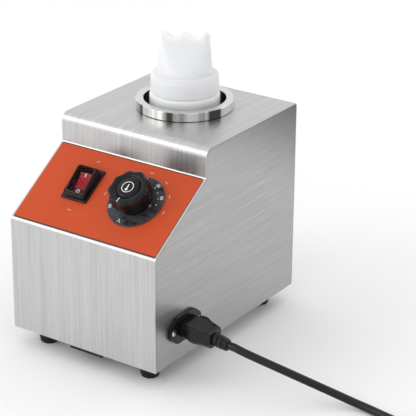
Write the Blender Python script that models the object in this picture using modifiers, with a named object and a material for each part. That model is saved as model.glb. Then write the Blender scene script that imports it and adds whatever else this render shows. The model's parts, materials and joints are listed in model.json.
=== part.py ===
"""Nacho cheese dispenser: a stainless sheet housing with a heated round well that holds one squeeze bottle.

Metres, +Z up, the sloping control panel faces -Y and the mains inlet faces +X.
The origin is at the centre of the housing's footprint, on the surface that the feet stand on.
"""

import math

import bmesh
import bpy
from mathutils import Euler, Vector

# Fits between neighbouring pieces
GAP = 0.0003  # between two pieces that touch or clamp
SLIP = 0.0004  # round a piece that is pushed through a cut-out or turns in a hole

# Housing
WIDTH = 0.172
DEPTH = 0.241
HEIGHT = 0.200
FRONT_HEIGHT = 0.1171
LIP_SETBACK = 0.0815  # from the front face back to the upright lip
LIP_HEIGHT = 0.0291  # of the upright lip, below the top
SHEET = 0.001
TOP_BEND = 0.009
BACK_BEND = 0.003
LIP_BEND = 0.002
FRONT_BEND = 0.004
FLANGE = 0.012  # the side panels' folded foot
FOLD_LIFT = 0.0001  # of the folded foot, above the panel's cut edge
INLAY = 0.0001  # a body joined to a flange stops this much inside the flange's face
BOTTOM = 0.0185  # the housing's lower edge, above the surface it stands on

# Feet and the screws of the base
FOOT_TOP_R = 0.011
FOOT_TIP_R = 0.00875
FOOT_INSET = 0.024  # of a foot's axis, from the housing's sides, front and back
FOOT_BORE_R = 0.0052
FOOT_BORE_DEPTH = 0.009
FOOT_SCREW_R = 0.002
FOOT_SCREW_HEAD_R = 0.0042
BASE_SCREW_R = 0.0014
BASE_SCREW_HEAD_R = 0.0032
SCREW_HEAD = 0.0022
BASE_SCREW_INSET = 0.008  # from the side panel's inner face
BASE_SCREW_Y = 0.085
VENT_WIDTH = 0.039
VENT_DEPTH = 0.026
VENT_DROP = 0.0055  # below the housing's lower edge
VENT_SETBACK = 0.004  # from the housing's front face

# Bottle well
WELL_SETBACK = 0.0724  # of the well's axis, from the back
WELL_ROOM = 0.006  # round the bottle
WELL_DEPTH = 0.1639  # from the ring's top to the floor of the cup
RING_WIDTH = 0.008
RING_HEIGHT = 0.0093
RING_SHEET = 0.0012
RING_SKIRT = 0.0065  # of the inner skirt, below the top of the housing
CUP_SHEET = 0.001
CUP_RIM = 0.004
BAND_THICK = 0.0028
BAND_LIFT = 0.0111  # above the cup's floor
BAND_HEIGHT = 0.090
BAND_MOUTH = math.radians(6)  # half of the band's opening
EAR = 0.0094
EAR_THICK = 0.002
SLEEVE_THICK = 0.011
SLEEVE_LIFT = 0.0061  # above the cup's floor
SLEEVE_HEIGHT = 0.102
SLEEVE_MOUTH = math.radians(28)
CLAMP_SCREW_R = 0.0016
CLAMP_SCREW_HEAD_R = 0.003
CUTOUT_R = 0.008
CUTOUT_THICK = 0.007
CUTOUT_DROP = 0.0285  # of the limiter's axis, below the top

# Control panel, in the panel's own frame: x across, y up the slope, z out of it
OVERLAY_THICK = 0.0004
OVERLAY_MARGIN_X = 0.002
OVERLAY_MARGIN_Y = 0.0024
DIAL_X = 0.0323
DIAL_Y = 0.053
BEZEL_R = 0.029
BEZEL_THICK = 0.001
DIAL_OPENING_R = 0.019
SHAFT_R = 0.003
SHAFT_DEPTH = 0.0135  # of the shaft's end behind the panel
KNOB_R = 0.0204
KNOB_LOBES = 9
KNOB_LOBE = 0.0008
KNOB_HEIGHT = 0.0245  # of the knob's face above the panel
THERMOSTAT_R = 0.017
THERMOSTAT_DEPTH = 0.027
THERMOSTAT_SCREW_X = 0.014
THERMOSTAT_SCREW_R = 0.0016
THERMOSTAT_SCREW_HEAD_R = 0.0032
SWITCH_X = -0.032
SWITCH_Y = 0.0555
SWITCH_FLANGE = (0.030, 0.0395)
SWITCH_BODY = (0.0215, 0.031)
SWITCH_FLANGE_THICK = 0.002
SWITCH_DEPTH = 0.022
ROCKER_WIDTH = 0.0175
ROCKER_LENGTH = 0.026
ROCKER_TILT = math.radians(10)
ROCKER_WELL = 0.009
BOOT_SIZE = (0.0255, 0.0348)
BOOT_WALL = 0.0012
BOOT_TOP = 0.0096  # at its middle
BOOT_LEAN = 0.147  # rise of the clear cap towards the rocker's raised end

# Mains inlet, in its own frame: x towards the back, y up, z out of the side panel
INLET_SETBACK = 0.0449  # from the front
INLET_Z = 0.0514
INLET_FLANGE = (0.050, 0.0275)
INLET_FLANGE_THICK = 0.0032
INLET_BODY = (0.0275, 0.0195)
INLET_BODY_DEPTH = 0.0185
INLET_SCREW_PITCH = 0.040
INLET_SCREW_R = 0.0015
INLET_SCREW_HEAD_R = 0.0028
NOSE_SIZE = (0.0236, 0.0158)
NOSE_SLIP = 0.0005
NOSE_DEPTH = 0.0155
NOSE_CHAMFER = 0.004
PIN_SIZE = (0.002, 0.004)
PIN_PITCH = 0.007
PIN_OFFSET = 0.002
PIN_LENGTH = 0.0135
GRIP_SIZE = (0.0275, 0.0205)
GRIP_START = 0.012  # out from the side panel
GRIP_END = 0.037
RELIEF_R = 0.0066
RELIEF_END = 0.0525
RELIEF_DROP = 0.0062  # the strain relief's far end hangs this much under the inlet's axis

# Wiring
WIRE_R = 0.0012
PIN_TAIL = 0.008  # of the inlet's pins, behind its body
STUD_HEIGHT = 0.011

# Bottle
BOTTLE_R = 0.035
BOTTLE_WALL = 0.0014
BODY_HEIGHT = 0.1455
SHOULDER = 0.0038  # the necks are this much narrower than the body, all round
NECK_WALL = 0.0016
BASE_CAP_HEIGHT = 0.025
COLLAR_WALL = 0.0024
COLLAR_HEIGHT = 0.019
COLLAR_STEP = 0.007  # from the collar in to the nozzle's foot
NOZZLE_HEIGHT = 0.0397
NOZZLE_DRAFT = 0.0026  # at each end of the wedge, from its foot to its top
CAP_WALL = 0.0022
TIP_THICK = 0.0066
TIP_BORE_R = 0.0014
TIP_NOTCH = 0.005
NOZZLE_TURN = math.radians(26)
GASKET_THICK = 0.002

# Mains cord
CORD_R = 0.0039
CORD_STEP = 0.016
COIL_OUT = 0.264  # of the coil's centre, from the right side of the housing
COIL_FORWARD = 0.0464  # of the coil's centre, in front of the inlet
COIL_OUTER_R = 0.0552
COIL_INNER_R = 0.0305
COIL_LIFT = 0.0012
COIL_HEIGHT = 0.0158
TIE_THICK = 0.0008
TIE_WIDTH = 0.012
TIE_ANGLE = math.radians(150)
PLUG_START = 0.047  # along the tail, from the coil's tangent point
PLUG_AXIS_OFFSET = 0.050  # from the coil's centre
PLUG_Z = 0.0125
PLUG_RELIEF = 0.026
PLUG_BODY = (0.026, 0.0235, 0.030)  # width, height, length
BLADE_SIZE = (0.0015, 0.0063)
BLADE_LENGTH = 0.018
BLADE_PITCH = 0.0127
GROUND_R = 0.0024

# Sizes that follow from those above
HALF_WIDTH = WIDTH / 2
HALF_DEPTH = DEPTH / 2
TOP = BOTTOM + HEIGHT
INSIDE = SHEET + GAP
BASE_Z = BOTTOM + SHEET + GAP
FOOT_X = HALF_WIDTH - FOOT_INSET
FOOT_Y = HALF_DEPTH - FOOT_INSET
PANEL_RISE = HEIGHT - FRONT_HEIGHT - LIP_HEIGHT
PANEL_TILT = math.atan2(PANEL_RISE, LIP_SETBACK)
PANEL_LENGTH = math.hypot(PANEL_RISE, LIP_SETBACK)
OVERLAY_TOP = GAP + OVERLAY_THICK
FITTING_BASE = OVERLAY_TOP + GAP
BEZEL_TOP = FITTING_BASE + BEZEL_THICK
FLANGE_TOP = FITTING_BASE + SWITCH_FLANGE_THICK
KNOB_BORE_TOP = KNOB_HEIGHT - 0.005
WELL_Y = HALF_DEPTH - WELL_SETBACK
WELL_R = BOTTLE_R + WELL_ROOM
RING_R = WELL_R + RING_WIDTH
RING_TOP = TOP + RING_HEIGHT
WELL_FLOOR = RING_TOP - WELL_DEPTH
CUP_R = WELL_R + RING_SHEET + GAP
CUP_OUTER_R = CUP_R + CUP_SHEET
BAND_R = CUP_OUTER_R + GAP
BAND_BOTTOM = WELL_FLOOR + BAND_LIFT
BAND_TOP = BAND_BOTTOM + BAND_HEIGHT
SLEEVE_R = BAND_R + BAND_THICK + 0.002
SLEEVE_BOTTOM = WELL_FLOOR + SLEEVE_LIFT
SLEEVE_TOP = SLEEVE_BOTTOM + SLEEVE_HEIGHT
CUTOUT_Z = TOP - CUTOUT_DROP
INLET_Y = -HALF_DEPTH + INLET_SETBACK
INLET_FACE = GAP + INLET_FLANGE_THICK
BOTTLE_BOTTOM = WELL_FLOOR + GAP
BODY_BOTTOM = BOTTLE_BOTTOM + BASE_CAP_HEIGHT + GAP
BODY_TOP = BODY_BOTTOM + BODY_HEIGHT
NECK_R = BOTTLE_R - SHOULDER
COLLAR_R = NECK_R + SLIP + COLLAR_WALL
COLLAR_BOTTOM = BODY_TOP + 0.0005
COLLAR_TOP = COLLAR_BOTTOM + COLLAR_HEIGHT
NOZZLE_R = COLLAR_R - COLLAR_STEP
NOZZLE_TOP = COLLAR_TOP + NOZZLE_HEIGHT
NOZZLE_TOP_LENGTH = 2 * (NOZZLE_R - NOZZLE_DRAFT)
TIP_PITCH = (NOZZLE_TOP_LENGTH - TIP_THICK) / 4
NECK_TOP = COLLAR_TOP - CAP_WALL - GASKET_THICK - 2 * GAP
COIL_CENTRE = Vector((HALF_WIDTH + COIL_OUT, INLET_Y - COIL_FORWARD, 0.0))

model = None
cutters = None
materials = {}


# ---------------------------------------------------------------- helpers


def clear_scene():
    for old in list(bpy.data.objects):
        bpy.data.objects.remove(old, do_unlink=True)


def new_collection(name):
    made = bpy.data.collections.new(name)
    bpy.context.scene.collection.children.link(made)
    return made


def material(name, colour, roughness, metallic=0.0, alpha=1.0):
    made = bpy.data.materials.new(name)
    made.use_nodes = True
    shader = made.node_tree.nodes["Principled BSDF"]
    shader.inputs["Base Color"].default_value = (*colour, 1.0)
    shader.inputs["Roughness"].default_value = roughness
    shader.inputs["Metallic"].default_value = metallic
    shader.inputs["Alpha"].default_value = alpha
    materials[name] = made


def make_materials():
    material("brushed_stainless", (0.60, 0.60, 0.59), 0.32, 1.0)
    material("polished_stainless", (0.72, 0.72, 0.72), 0.10, 1.0)
    material("galvanised_steel", (0.55, 0.56, 0.57), 0.45, 1.0)
    material("orange_film", (0.77, 0.14, 0.06), 0.45)
    material("black_plastic", (0.012, 0.012, 0.013), 0.35)
    material("grey_plastic", (0.05, 0.05, 0.052), 0.6)
    material("black_rubber", (0.015, 0.015, 0.015), 0.7)
    material("red_lens", (0.55, 0.02, 0.02), 0.15)
    material("clear_boot", (0.65, 0.60, 0.60), 0.12, alpha=0.35)
    material("milky_plastic", (0.86, 0.87, 0.87), 0.4)
    material("silicone", (0.70, 0.28, 0.12), 0.6)
    material("glass_wool", (0.82, 0.78, 0.60), 0.95)
    material("copper", (0.72, 0.35, 0.20), 0.3, 1.0)
    material("brass", (0.70, 0.52, 0.22), 0.3, 1.0)
    material("wire_red", (0.45, 0.02, 0.02), 0.5)
    material("wire_blue", (0.02, 0.10, 0.45), 0.5)
    material("wire_green", (0.20, 0.40, 0.05), 0.5)


def place(obj, finish, parent=None, location=(0, 0, 0), rotation=(0, 0, 0)):
    """Give a piece its material, its parent frame and its place, in the model's collection."""
    obj.data.materials.append(materials[finish])
    model.objects.link(obj)
    obj.parent = parent
    obj.location = location
    obj.rotation_euler = rotation
    return obj


def as_cutter(obj, parent=None, location=(0, 0, 0), rotation=(0, 0, 0)):
    cutters.objects.link(obj)
    obj.parent = parent
    obj.location = location
    obj.rotation_euler = rotation
    obj.hide_render = True
    obj.display_type = "WIRE"
    return obj


def boolean(obj, other, operation="DIFFERENCE"):
    made = obj.modifiers.new(other.name, "BOOLEAN")
    made.operation = operation
    made.object = other
    made.solver = "EXACT"


def object_of(name, mesh_builder):
    mesh = bpy.data.meshes.new(name)
    mesh_builder.to_mesh(mesh)
    mesh_builder.free()
    return bpy.data.objects.new(name, mesh)


def smooth(obj, degrees=35):
    obj.data.shade_smooth()
    obj.data.set_sharp_from_angle(angle=math.radians(degrees))
    return obj


def block(name, size, centre=(0, 0, 0), bevel=0.0, bevel_steps=1):
    """A box of this size, with its edges rounded by a bevel."""
    bm = bmesh.new()
    bmesh.ops.create_cube(bm, size=1.0)
    for v in bm.verts:
        v.co = Vector(c * s + m for c, s, m in zip(v.co, size, centre))
    if bevel:
        bmesh.ops.bevel(bm, geom=bm.edges[:], offset=bevel, segments=bevel_steps, affect="EDGES")
    return object_of(name, bm)


def rod(name, radius, low, high, segments=16, top_radius=None):
    """A round bar along Z, or a cone when the top has its own radius."""
    bm = bmesh.new()
    bmesh.ops.create_cone(
        bm,
        cap_ends=True,
        segments=segments,
        radius1=radius,
        radius2=radius if top_radius is None else top_radius,
        depth=high - low,
    )
    bmesh.ops.translate(bm, verts=bm.verts, vec=(0, 0, (low + high) / 2))
    return smooth(object_of(name, bm))


def turned(name, profile, segments, closed=False):
    """A profile of (radius, height) points turned about Z. It runs down its outer side."""
    bm = bmesh.new()
    verts = [bm.verts.new((r, 0, z)) for r, z in profile]
    for a, b in zip(verts, verts[1:]):
        bm.edges.new((a, b))
    if closed:
        bm.edges.new((verts[-1], verts[0]))
    obj = object_of(name, bm)
    screw = obj.modifiers.new("turn", "SCREW")
    screw.axis = "Z"
    screw.steps = segments
    screw.render_steps = segments
    screw.use_merge_vertices = True
    screw.merge_threshold = 0.00001
    screw.use_smooth_shade = True
    return obj


def evaluated_mesh(obj, weld=0.000001):
    """The object's shape as a plain mesh with its loose caps welded, and the source object removed."""
    bpy.context.scene.collection.objects.link(obj)
    bpy.context.view_layer.update()
    graph = bpy.context.evaluated_depsgraph_get()
    mesh = bpy.data.meshes.new_from_object(obj.evaluated_get(graph))
    name = obj.name
    bpy.data.objects.remove(obj, do_unlink=True)
    bm = bmesh.new()
    bm.from_mesh(mesh)
    bmesh.ops.remove_doubles(bm, verts=bm.verts, dist=weld)
    bm.to_mesh(mesh)
    bm.free()
    mesh.name = name
    return bpy.data.objects.new(name, mesh)


def plate(name, outlines, low, high):
    """A flat plate from closed outlines in XY: the first is its edge, and the others are holes."""
    curve = bpy.data.curves.new(name, "CURVE")
    curve.dimensions = "2D"
    curve.fill_mode = "BOTH"
    curve.extrude = (high - low) / 2
    for outline in outlines:
        spline = curve.splines.new("POLY")
        spline.points.add(len(outline) - 1)
        for point, (x, y) in zip(spline.points, outline):
            point.co = (x, y, 0, 1)
        spline.use_cyclic_u = True
    obj = evaluated_mesh(bpy.data.objects.new(name, curve))
    for v in obj.data.vertices:
        v.co.z += (low + high) / 2
    return obj


def tube(name, points, radius, sides=2, radii=None):
    """A wire or cord along the points, with closed ends."""
    curve = bpy.data.curves.new(name, "CURVE")
    curve.dimensions = "3D"
    curve.bevel_depth = radius
    curve.bevel_resolution = sides
    curve.use_fill_caps = True
    spline = curve.splines.new("POLY")
    spline.points.add(len(points) - 1)
    for i, (point, co) in enumerate(zip(spline.points, points)):
        point.co = (*co, 1)
        point.radius = 1.0 if radii is None else radii[i]
    return bpy.data.objects.new(name, curve)


def smooth_route(route, step):
    """Points about a step apart on a smooth curve through the route's own points."""
    ends = [2 * route[0] - route[1], *route, 2 * route[-1] - route[-2]]
    found = [route[0]]
    for before, a, b, after in zip(ends, ends[1:], ends[2:], ends[3:]):
        count = max(1, round((b - a).length / step))
        for i in range(1, count + 1):
            t = i / count
            found.append(
                0.5
                * (
                    2 * a
                    + (b - before) * t
                    + (2 * before - 5 * a + 4 * b - after) * t**2
                    + (3 * a - before - 3 * b + after) * t**3
                )
            )
    return found


def vectors(*points):
    return [Vector(p) for p in points]


def circle(radius, segments, centre=(0, 0)):
    angles = [2 * math.pi * i / segments for i in range(segments)]
    return [(centre[0] + radius * math.cos(a), centre[1] + radius * math.sin(a)) for a in angles]


def rounded(corners, radii, steps=4):
    """A closed outline whose corners are arcs of these radii, and stay sharp at 0."""
    found = []
    for i, (corner, radius) in enumerate(zip(corners, radii)):
        here = Vector(corner)
        if not radius:
            found.append(here)
            continue
        back = (Vector(corners[i - 1]) - here).normalized()
        on = (Vector(corners[(i + 1) % len(corners)]) - here).normalized()
        half = back.angle(on) / 2
        centre = here + (back + on).normalized() * radius / math.sin(half)
        first = here + back * radius / math.tan(half) - centre
        last = here + on * radius / math.tan(half) - centre
        turn = math.atan2(first.cross(last), first.dot(last))
        for k in range(steps + 1):
            angle = turn * k / steps
            c, s = math.cos(angle), math.sin(angle)
            found.append(centre + Vector((c * first.x - s * first.y, s * first.x + c * first.y)))
    return found


def rectangle(width, height, radius=0.0, centre=(0, 0), steps=3):
    x, y = width / 2, height / 2
    corners = [(-x, -y), (x, -y), (x, y), (-x, y)]
    corners = [(px + centre[0], py + centre[1]) for px, py in corners]
    return rounded(corners, [radius] * 4, steps)


def inset(corners, distances):
    """The outline moved inwards, each edge by its own distance. Corners run anticlockwise."""
    lines = []
    for i, corner in enumerate(corners):
        a, b = Vector(corner), Vector(corners[(i + 1) % len(corners)])
        along = (b - a).normalized()
        normal = Vector((-along.y, along.x))
        lines.append((a + normal * distances[i], along))
    found = []
    for (p, d), (q, e) in zip([lines[-1], *lines[:-1]], lines):
        t = (q - p).cross(e) / d.cross(e)
        found.append(p + d * t)
    return found


def bridged(name, rings):
    """A closed body lofted through rings of points that all have the same count."""
    bm = bmesh.new()
    loops = [[bm.verts.new(p) for p in ring] for ring in rings]
    for low, high in zip(loops, loops[1:]):
        for i in range(len(low)):
            k = (i + 1) % len(low)
            bm.faces.new((low[i], low[k], high[k], high[i]))
    bm.faces.new(list(reversed(loops[0])))
    bm.faces.new(loops[-1])
    bmesh.ops.recalc_face_normals(bm, faces=bm.faces)
    return smooth(object_of(name, bm))


def screw(name, shank_r, head_r, head, length, segments=12):
    """A pan-head screw along Z: the head's underside is at 0 and the shank runs down from it."""
    return turned(
        name,
        [
            (0, head),
            (head_r * 0.75, head),
            (head_r, head * 0.55),
            (head_r, 0),
            (shank_r, 0),
            (shank_r, -length + shank_r),
            (0, -length),
        ],
        segments,
    )


# ---------------------------------------------------------------- frames


def frame(name, location, rotation):
    empty = bpy.data.objects.new(name, None)
    model.objects.link(empty)
    empty.location = location
    empty.rotation_euler = rotation
    empty.empty_display_size = 0.02
    return empty


def panel_frame():
    return frame("panel_frame", (0, -HALF_DEPTH, BOTTOM + FRONT_HEIGHT), (PANEL_TILT, 0, 0))


def inlet_frame():
    """Its z points out of the right side, its x to the back and its y up."""
    turn = Euler((math.pi / 2, 0, math.pi / 2))
    return frame("inlet_frame", (HALF_WIDTH, INLET_Y, INLET_Z), turn)


# ---------------------------------------------------------------- housing


def body_corners(inward=0.0):
    """Corners (y, z) of the housing's side, anticlockwise from the lower front, and its bends' radii."""
    lip_y = -HALF_DEPTH + LIP_SETBACK
    corners = [
        (-HALF_DEPTH, BOTTOM),
        (HALF_DEPTH, BOTTOM),
        (HALF_DEPTH, TOP),
        (lip_y, TOP),
        (lip_y, TOP - LIP_HEIGHT),
        (-HALF_DEPTH, BOTTOM + FRONT_HEIGHT),
    ]
    moved = inset(corners, [0, inward, inward, inward, inward, inward])
    radii = [0, 0, BACK_BEND - inward, TOP_BEND - inward, LIP_BEND + inward, FRONT_BEND - inward]
    return moved, radii


def wrap_panel(panel, well_cut, switch_cut, shaft_cut, screw_cuts):
    """Front, control slope, lip, top and back: one sheet folded from side to side."""
    corners, radii = body_corners()
    outline = rounded(corners, radii, 5)
    strip = outline[1:] + outline[:1]
    bm = bmesh.new()
    left = [bm.verts.new((-HALF_WIDTH, y, z)) for y, z in strip]
    right = [bm.verts.new((HALF_WIDTH, y, z)) for y, z in strip]
    for i in range(len(strip) - 1):
        bm.faces.new((left[i], left[i + 1], right[i + 1], right[i]))
    bmesh.ops.recalc_face_normals(bm, faces=bm.faces)
    obj = object_of("wrap_panel", bm)
    top = next(f for f in obj.data.polygons if abs(f.center.z - TOP) < GAP)
    solid = obj.modifiers.new("sheet", "SOLIDIFY")
    solid.thickness = SHEET if top.normal.z > 0 else -SHEET
    solid.offset = -1
    solid.use_even_offset = True
    for cutter in (well_cut, switch_cut, shaft_cut, *screw_cuts):
        boolean(obj, cutter)
    return place(obj, "brushed_stainless")


def side_panel(name, side, cuts=()):
    """A flat side inside the wrap's edges, with a foot folded inwards that the base is screwed to."""
    corners, radii = body_corners(INSIDE)
    outline = rounded(corners, radii, 4)
    obj = plate(name, [outline], -SHEET, 0)
    turn = Euler((math.pi / 2, 0, math.pi / 2)).to_matrix().to_4x4()
    obj.data.transform(turn)
    low, high = corners[0][0], corners[1][0]
    foot = block(
        name + "_foot",
        (FLANGE, high - low - 2 * SHEET, SHEET - FOLD_LIFT),
        (-FLANGE / 2, (high + low) / 2, BOTTOM + (SHEET + FOLD_LIFT) / 2),
    )
    as_cutter(foot)
    if side < 0:
        for part in (obj, foot):
            for v in part.data.vertices:
                v.co.x = -v.co.x
            part.data.flip_normals()
    foot.location.x = side * (HALF_WIDTH - SHEET / 2)
    boolean(obj, foot, "UNION")
    for cutter in cuts:
        boolean(obj, cutter)
    return place(obj, "brushed_stainless", location=(side * HALF_WIDTH, 0, 0))


def feet_places():
    return [
        (f"{end}_{side}", sx * FOOT_X, sy * FOOT_Y)
        for end, sy in (("front", -1), ("rear", 1))
        for side, sx in (("left", -1), ("right", 1))
    ]


def base_screw_places():
    x = HALF_WIDTH - SHEET - BASE_SCREW_INSET
    return [
        (f"{end}_{side}", sx * x, sy * BASE_SCREW_Y)
        for end, sy in (("front", -1), ("rear", 1))
        for side, sx in (("left", -1), ("right", 1))
    ]


def base_plate():
    edge = HALF_WIDTH - INSIDE
    holes = [circle(FOOT_SCREW_R + SLIP, 12, (x, y)) for _, x, y in feet_places()]
    holes += [circle(BASE_SCREW_R + GAP, 10, (x, y)) for _, x, y in base_screw_places()]
    vent_y = -HALF_DEPTH + VENT_SETBACK + VENT_DEPTH / 2
    holes.append(rectangle(VENT_WIDTH * 0.7, VENT_DEPTH * 0.5, 0.002, (0, vent_y)))
    outline = rectangle(2 * edge, 2 * (HALF_DEPTH - INSIDE), 0.001, steps=1)
    return place(plate("base_plate", [outline, *holes], BASE_Z, BASE_Z + SHEET), "galvanised_steel")


def feet():
    top = BASE_Z - GAP
    for where, x, y in feet_places():
        foot = turned(
            "foot_" + where,
            [
                (FOOT_TOP_R - 0.0008, top),
                (FOOT_TOP_R, top - 0.0008),
                (FOOT_TOP_R, top * 0.62),
                (FOOT_TIP_R + 0.0006, 0.0012),
                (FOOT_TIP_R - 0.0004, 0),
                (FOOT_BORE_R, 0),
                (FOOT_BORE_R, FOOT_BORE_DEPTH),
                (FOOT_SCREW_R + SLIP, FOOT_BORE_DEPTH),
                (FOOT_SCREW_R + SLIP, top),
            ],
            16,
            closed=True,
        )
        place(foot, "black_rubber", location=(x, y, 0))
        length = top - FOOT_BORE_DEPTH + 0.009
        bolt = screw("foot_screw_" + where, FOOT_SCREW_R, FOOT_SCREW_HEAD_R, SCREW_HEAD, length, 10)
        place(bolt, "galvanised_steel", None, (x, y, FOOT_BORE_DEPTH - GAP), (math.pi, 0, 0))


def base_screws():
    for where, x, y in base_screw_places():
        bolt = screw("base_screw_" + where, BASE_SCREW_R, BASE_SCREW_HEAD_R, SCREW_HEAD * 0.8, 0.006, 10)
        place(bolt, "polished_stainless", None, (x, y, BOTTOM - GAP), (math.pi, 0, 0))


def base_vent():
    """A louvred black cover under the air opening at the front of the base."""
    top = BASE_Z - GAP
    low = BOTTOM - VENT_DROP
    outline = rectangle(VENT_WIDTH, VENT_DEPTH, 0.002)
    slots = [
        rectangle(VENT_WIDTH * 0.62, VENT_DEPTH * 0.07, 0.0, (0, VENT_DEPTH * step))
        for step in (-0.24, -0.08, 0.08, 0.24)
    ]
    obj = plate("base_vent", [outline, *slots], low, top)
    return place(obj, "black_plastic", location=(0, -HALF_DEPTH + VENT_SETBACK + VENT_DEPTH / 2, 0))


# ---------------------------------------------------------------- bottle well


def well_ring():
    low = TOP + GAP
    inner = WELL_R + RING_SHEET
    outer = RING_R - RING_SHEET
    under = RING_TOP - RING_SHEET
    chamfer = 0.0008
    obj = turned(
        "well_ring",
        [
            (WELL_R + chamfer, RING_TOP),
            (RING_R - chamfer, RING_TOP),
            (RING_R, RING_TOP - chamfer),
            (RING_R, low),
            (outer, low),
            (outer, under),
            (inner, under),
            (inner, TOP - RING_SKIRT),
            (WELL_R, TOP - RING_SKIRT),
            (WELL_R, RING_TOP - chamfer),
        ],
        40,
        closed=True,
    )
    return place(obj, "polished_stainless", location=(0, WELL_Y, 0))


def well_cup():
    rim = TOP + GAP
    low = WELL_FLOOR - CUP_SHEET
    obj = turned(
        "well_cup",
        [
            (0, WELL_FLOOR),
            (CUP_R - 0.006, WELL_FLOOR),
            (CUP_R - 0.0016, WELL_FLOOR + 0.0018),
            (CUP_R, WELL_FLOOR + 0.006),
            (CUP_R, rim + CUP_SHEET),
            (CUP_R + CUP_RIM + CUP_SHEET, rim + CUP_SHEET),
            (CUP_R + CUP_RIM + CUP_SHEET, rim),
            (CUP_OUTER_R, rim),
            (CUP_OUTER_R, WELL_FLOOR + 0.0056),
            (CUP_OUTER_R - 0.0018, low + 0.0014),
            (CUP_OUTER_R - 0.0066, low),
            (0, low),
        ],
        40,
    )
    return place(obj, "brushed_stainless", location=(0, WELL_Y, 0))


def open_band(name, inner, outer, mouth, low, high, segments, ear=0.0, ear_thick=0.0):
    """A split band with its mouth to the front, and an ear beside the mouth at each end."""
    start = -math.pi / 2 + mouth
    sweep = 2 * math.pi - 2 * mouth
    reach = ear_thick / outer

    def at(radius, angle):
        return (radius * math.cos(angle), radius * math.sin(angle))

    inside = [at(inner, start + sweep * i / segments) for i in range(segments + 1)]
    trim = reach if ear else 0.0
    outside = [
        at(outer, start + trim + (sweep - 2 * trim) * i / segments) for i in range(segments, -1, -1)
    ]
    outline = inside + outside
    if ear:
        last, first = start + sweep, start
        ear_last = [at(outer + ear, last), at(outer + ear, last - reach * outer / (outer + ear))]
        ear_first = [at(outer + ear, first + reach * outer / (outer + ear)), at(outer + ear, first)]
        outline = inside + ear_last + outside + ear_first
    return plate(name, [outline], low, high)


def heater():
    band = open_band(
        "heater_band", BAND_R, BAND_R + BAND_THICK, BAND_MOUTH, BAND_BOTTOM, BAND_TOP, 36, EAR, EAR_THICK
    )
    place(band, "silicone", location=(0, WELL_Y, 0))
    screw_y = WELL_Y - BAND_R - BAND_THICK - EAR * 0.55
    screw_z = (BAND_BOTTOM + BAND_TOP) / 2
    hole = rod("clamp_hole", CLAMP_SCREW_R + GAP, -0.02, 0.02, 12)
    as_cutter(hole, None, (0, screw_y, screw_z), (0, math.pi / 2, 0))
    boolean(band, hole)
    ear_x = (BAND_R + BAND_THICK + EAR) * math.sin(BAND_MOUTH) + EAR_THICK
    bolt = screw("heater_clamp_screw", CLAMP_SCREW_R, CLAMP_SCREW_HEAD_R, SCREW_HEAD, 2 * ear_x + 0.003, 10)
    place(bolt, "galvanised_steel", None, (ear_x + GAP, screw_y, screw_z), (0, math.pi / 2, 0))
    sleeve = open_band(
        "insulation_sleeve", SLEEVE_R, SLEEVE_R + SLEEVE_THICK, SLEEVE_MOUTH, SLEEVE_BOTTOM, SLEEVE_TOP, 28
    )
    place(sleeve, "glass_wool", location=(0, WELL_Y, 0))


def thermal_cutout():
    """The bimetal limiter, a small round can whose face lies on the front of the cup."""
    obj = turned(
        "thermal_cutout",
        [
            (0, CUTOUT_THICK),
            (CUTOUT_R * 0.6, CUTOUT_THICK),
            (CUTOUT_R * 0.6, CUTOUT_THICK * 0.45),
            (CUTOUT_R, CUTOUT_THICK * 0.45),
            (CUTOUT_R, 0),
            (0, 0),
        ],
        20,
    )
    place(obj, "black_plastic", None, (0, WELL_Y - CUP_OUTER_R - GAP, CUTOUT_Z), (math.pi / 2, 0, 0))


# ---------------------------------------------------------------- control panel


def panel_cutters(panel):
    opening = rectangle(SWITCH_BODY[0] + 2 * SLIP, SWITCH_BODY[1] + 2 * SLIP)
    switch = as_cutter(plate("switch_cut", [opening], -0.01, 0.01), panel, (SWITCH_X, SWITCH_Y, 0))
    shaft = as_cutter(rod("shaft_cut", SHAFT_R + SLIP, -0.01, 0.01, 16), panel, (DIAL_X, DIAL_Y, 0))
    screws = []
    for i, sx in enumerate((-1, 1)):
        hole = rod(f"thermostat_hole_{i}", THERMOSTAT_SCREW_R + SLIP, -0.008, 0.008, 12)
        as_cutter(hole, panel, (DIAL_X + sx * THERMOSTAT_SCREW_X, DIAL_Y, 0))
        screws.append(hole)
    return switch, shaft, screws


def control_overlay(panel):
    width = WIDTH - 2 * OVERLAY_MARGIN_X
    height = PANEL_LENGTH - OVERLAY_MARGIN_Y - 0.0014
    outline = rectangle(width, height, 0.0015, (0, OVERLAY_MARGIN_Y + height / 2), 2)
    holes = [
        rectangle(SWITCH_BODY[0] + 2 * SLIP, SWITCH_BODY[1] + 2 * SLIP, 0, (SWITCH_X, SWITCH_Y)),
        circle(DIAL_OPENING_R, 24, (DIAL_X, DIAL_Y)),
    ]
    return place(plate("control_overlay", [outline, *holes], GAP, OVERLAY_TOP), "orange_film", panel)


def dial_bezel(panel):
    holes = [circle(SHAFT_R + SLIP, 16)]
    for sx in (-1, 1):
        holes.append(circle(THERMOSTAT_SCREW_HEAD_R + SLIP, 14, (sx * THERMOSTAT_SCREW_X, 0)))
    obj = plate("dial_bezel", [circle(BEZEL_R, 48), *holes], FITTING_BASE, BEZEL_TOP)
    return place(obj, "grey_plastic", panel, (DIAL_X, DIAL_Y, 0))


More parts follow.
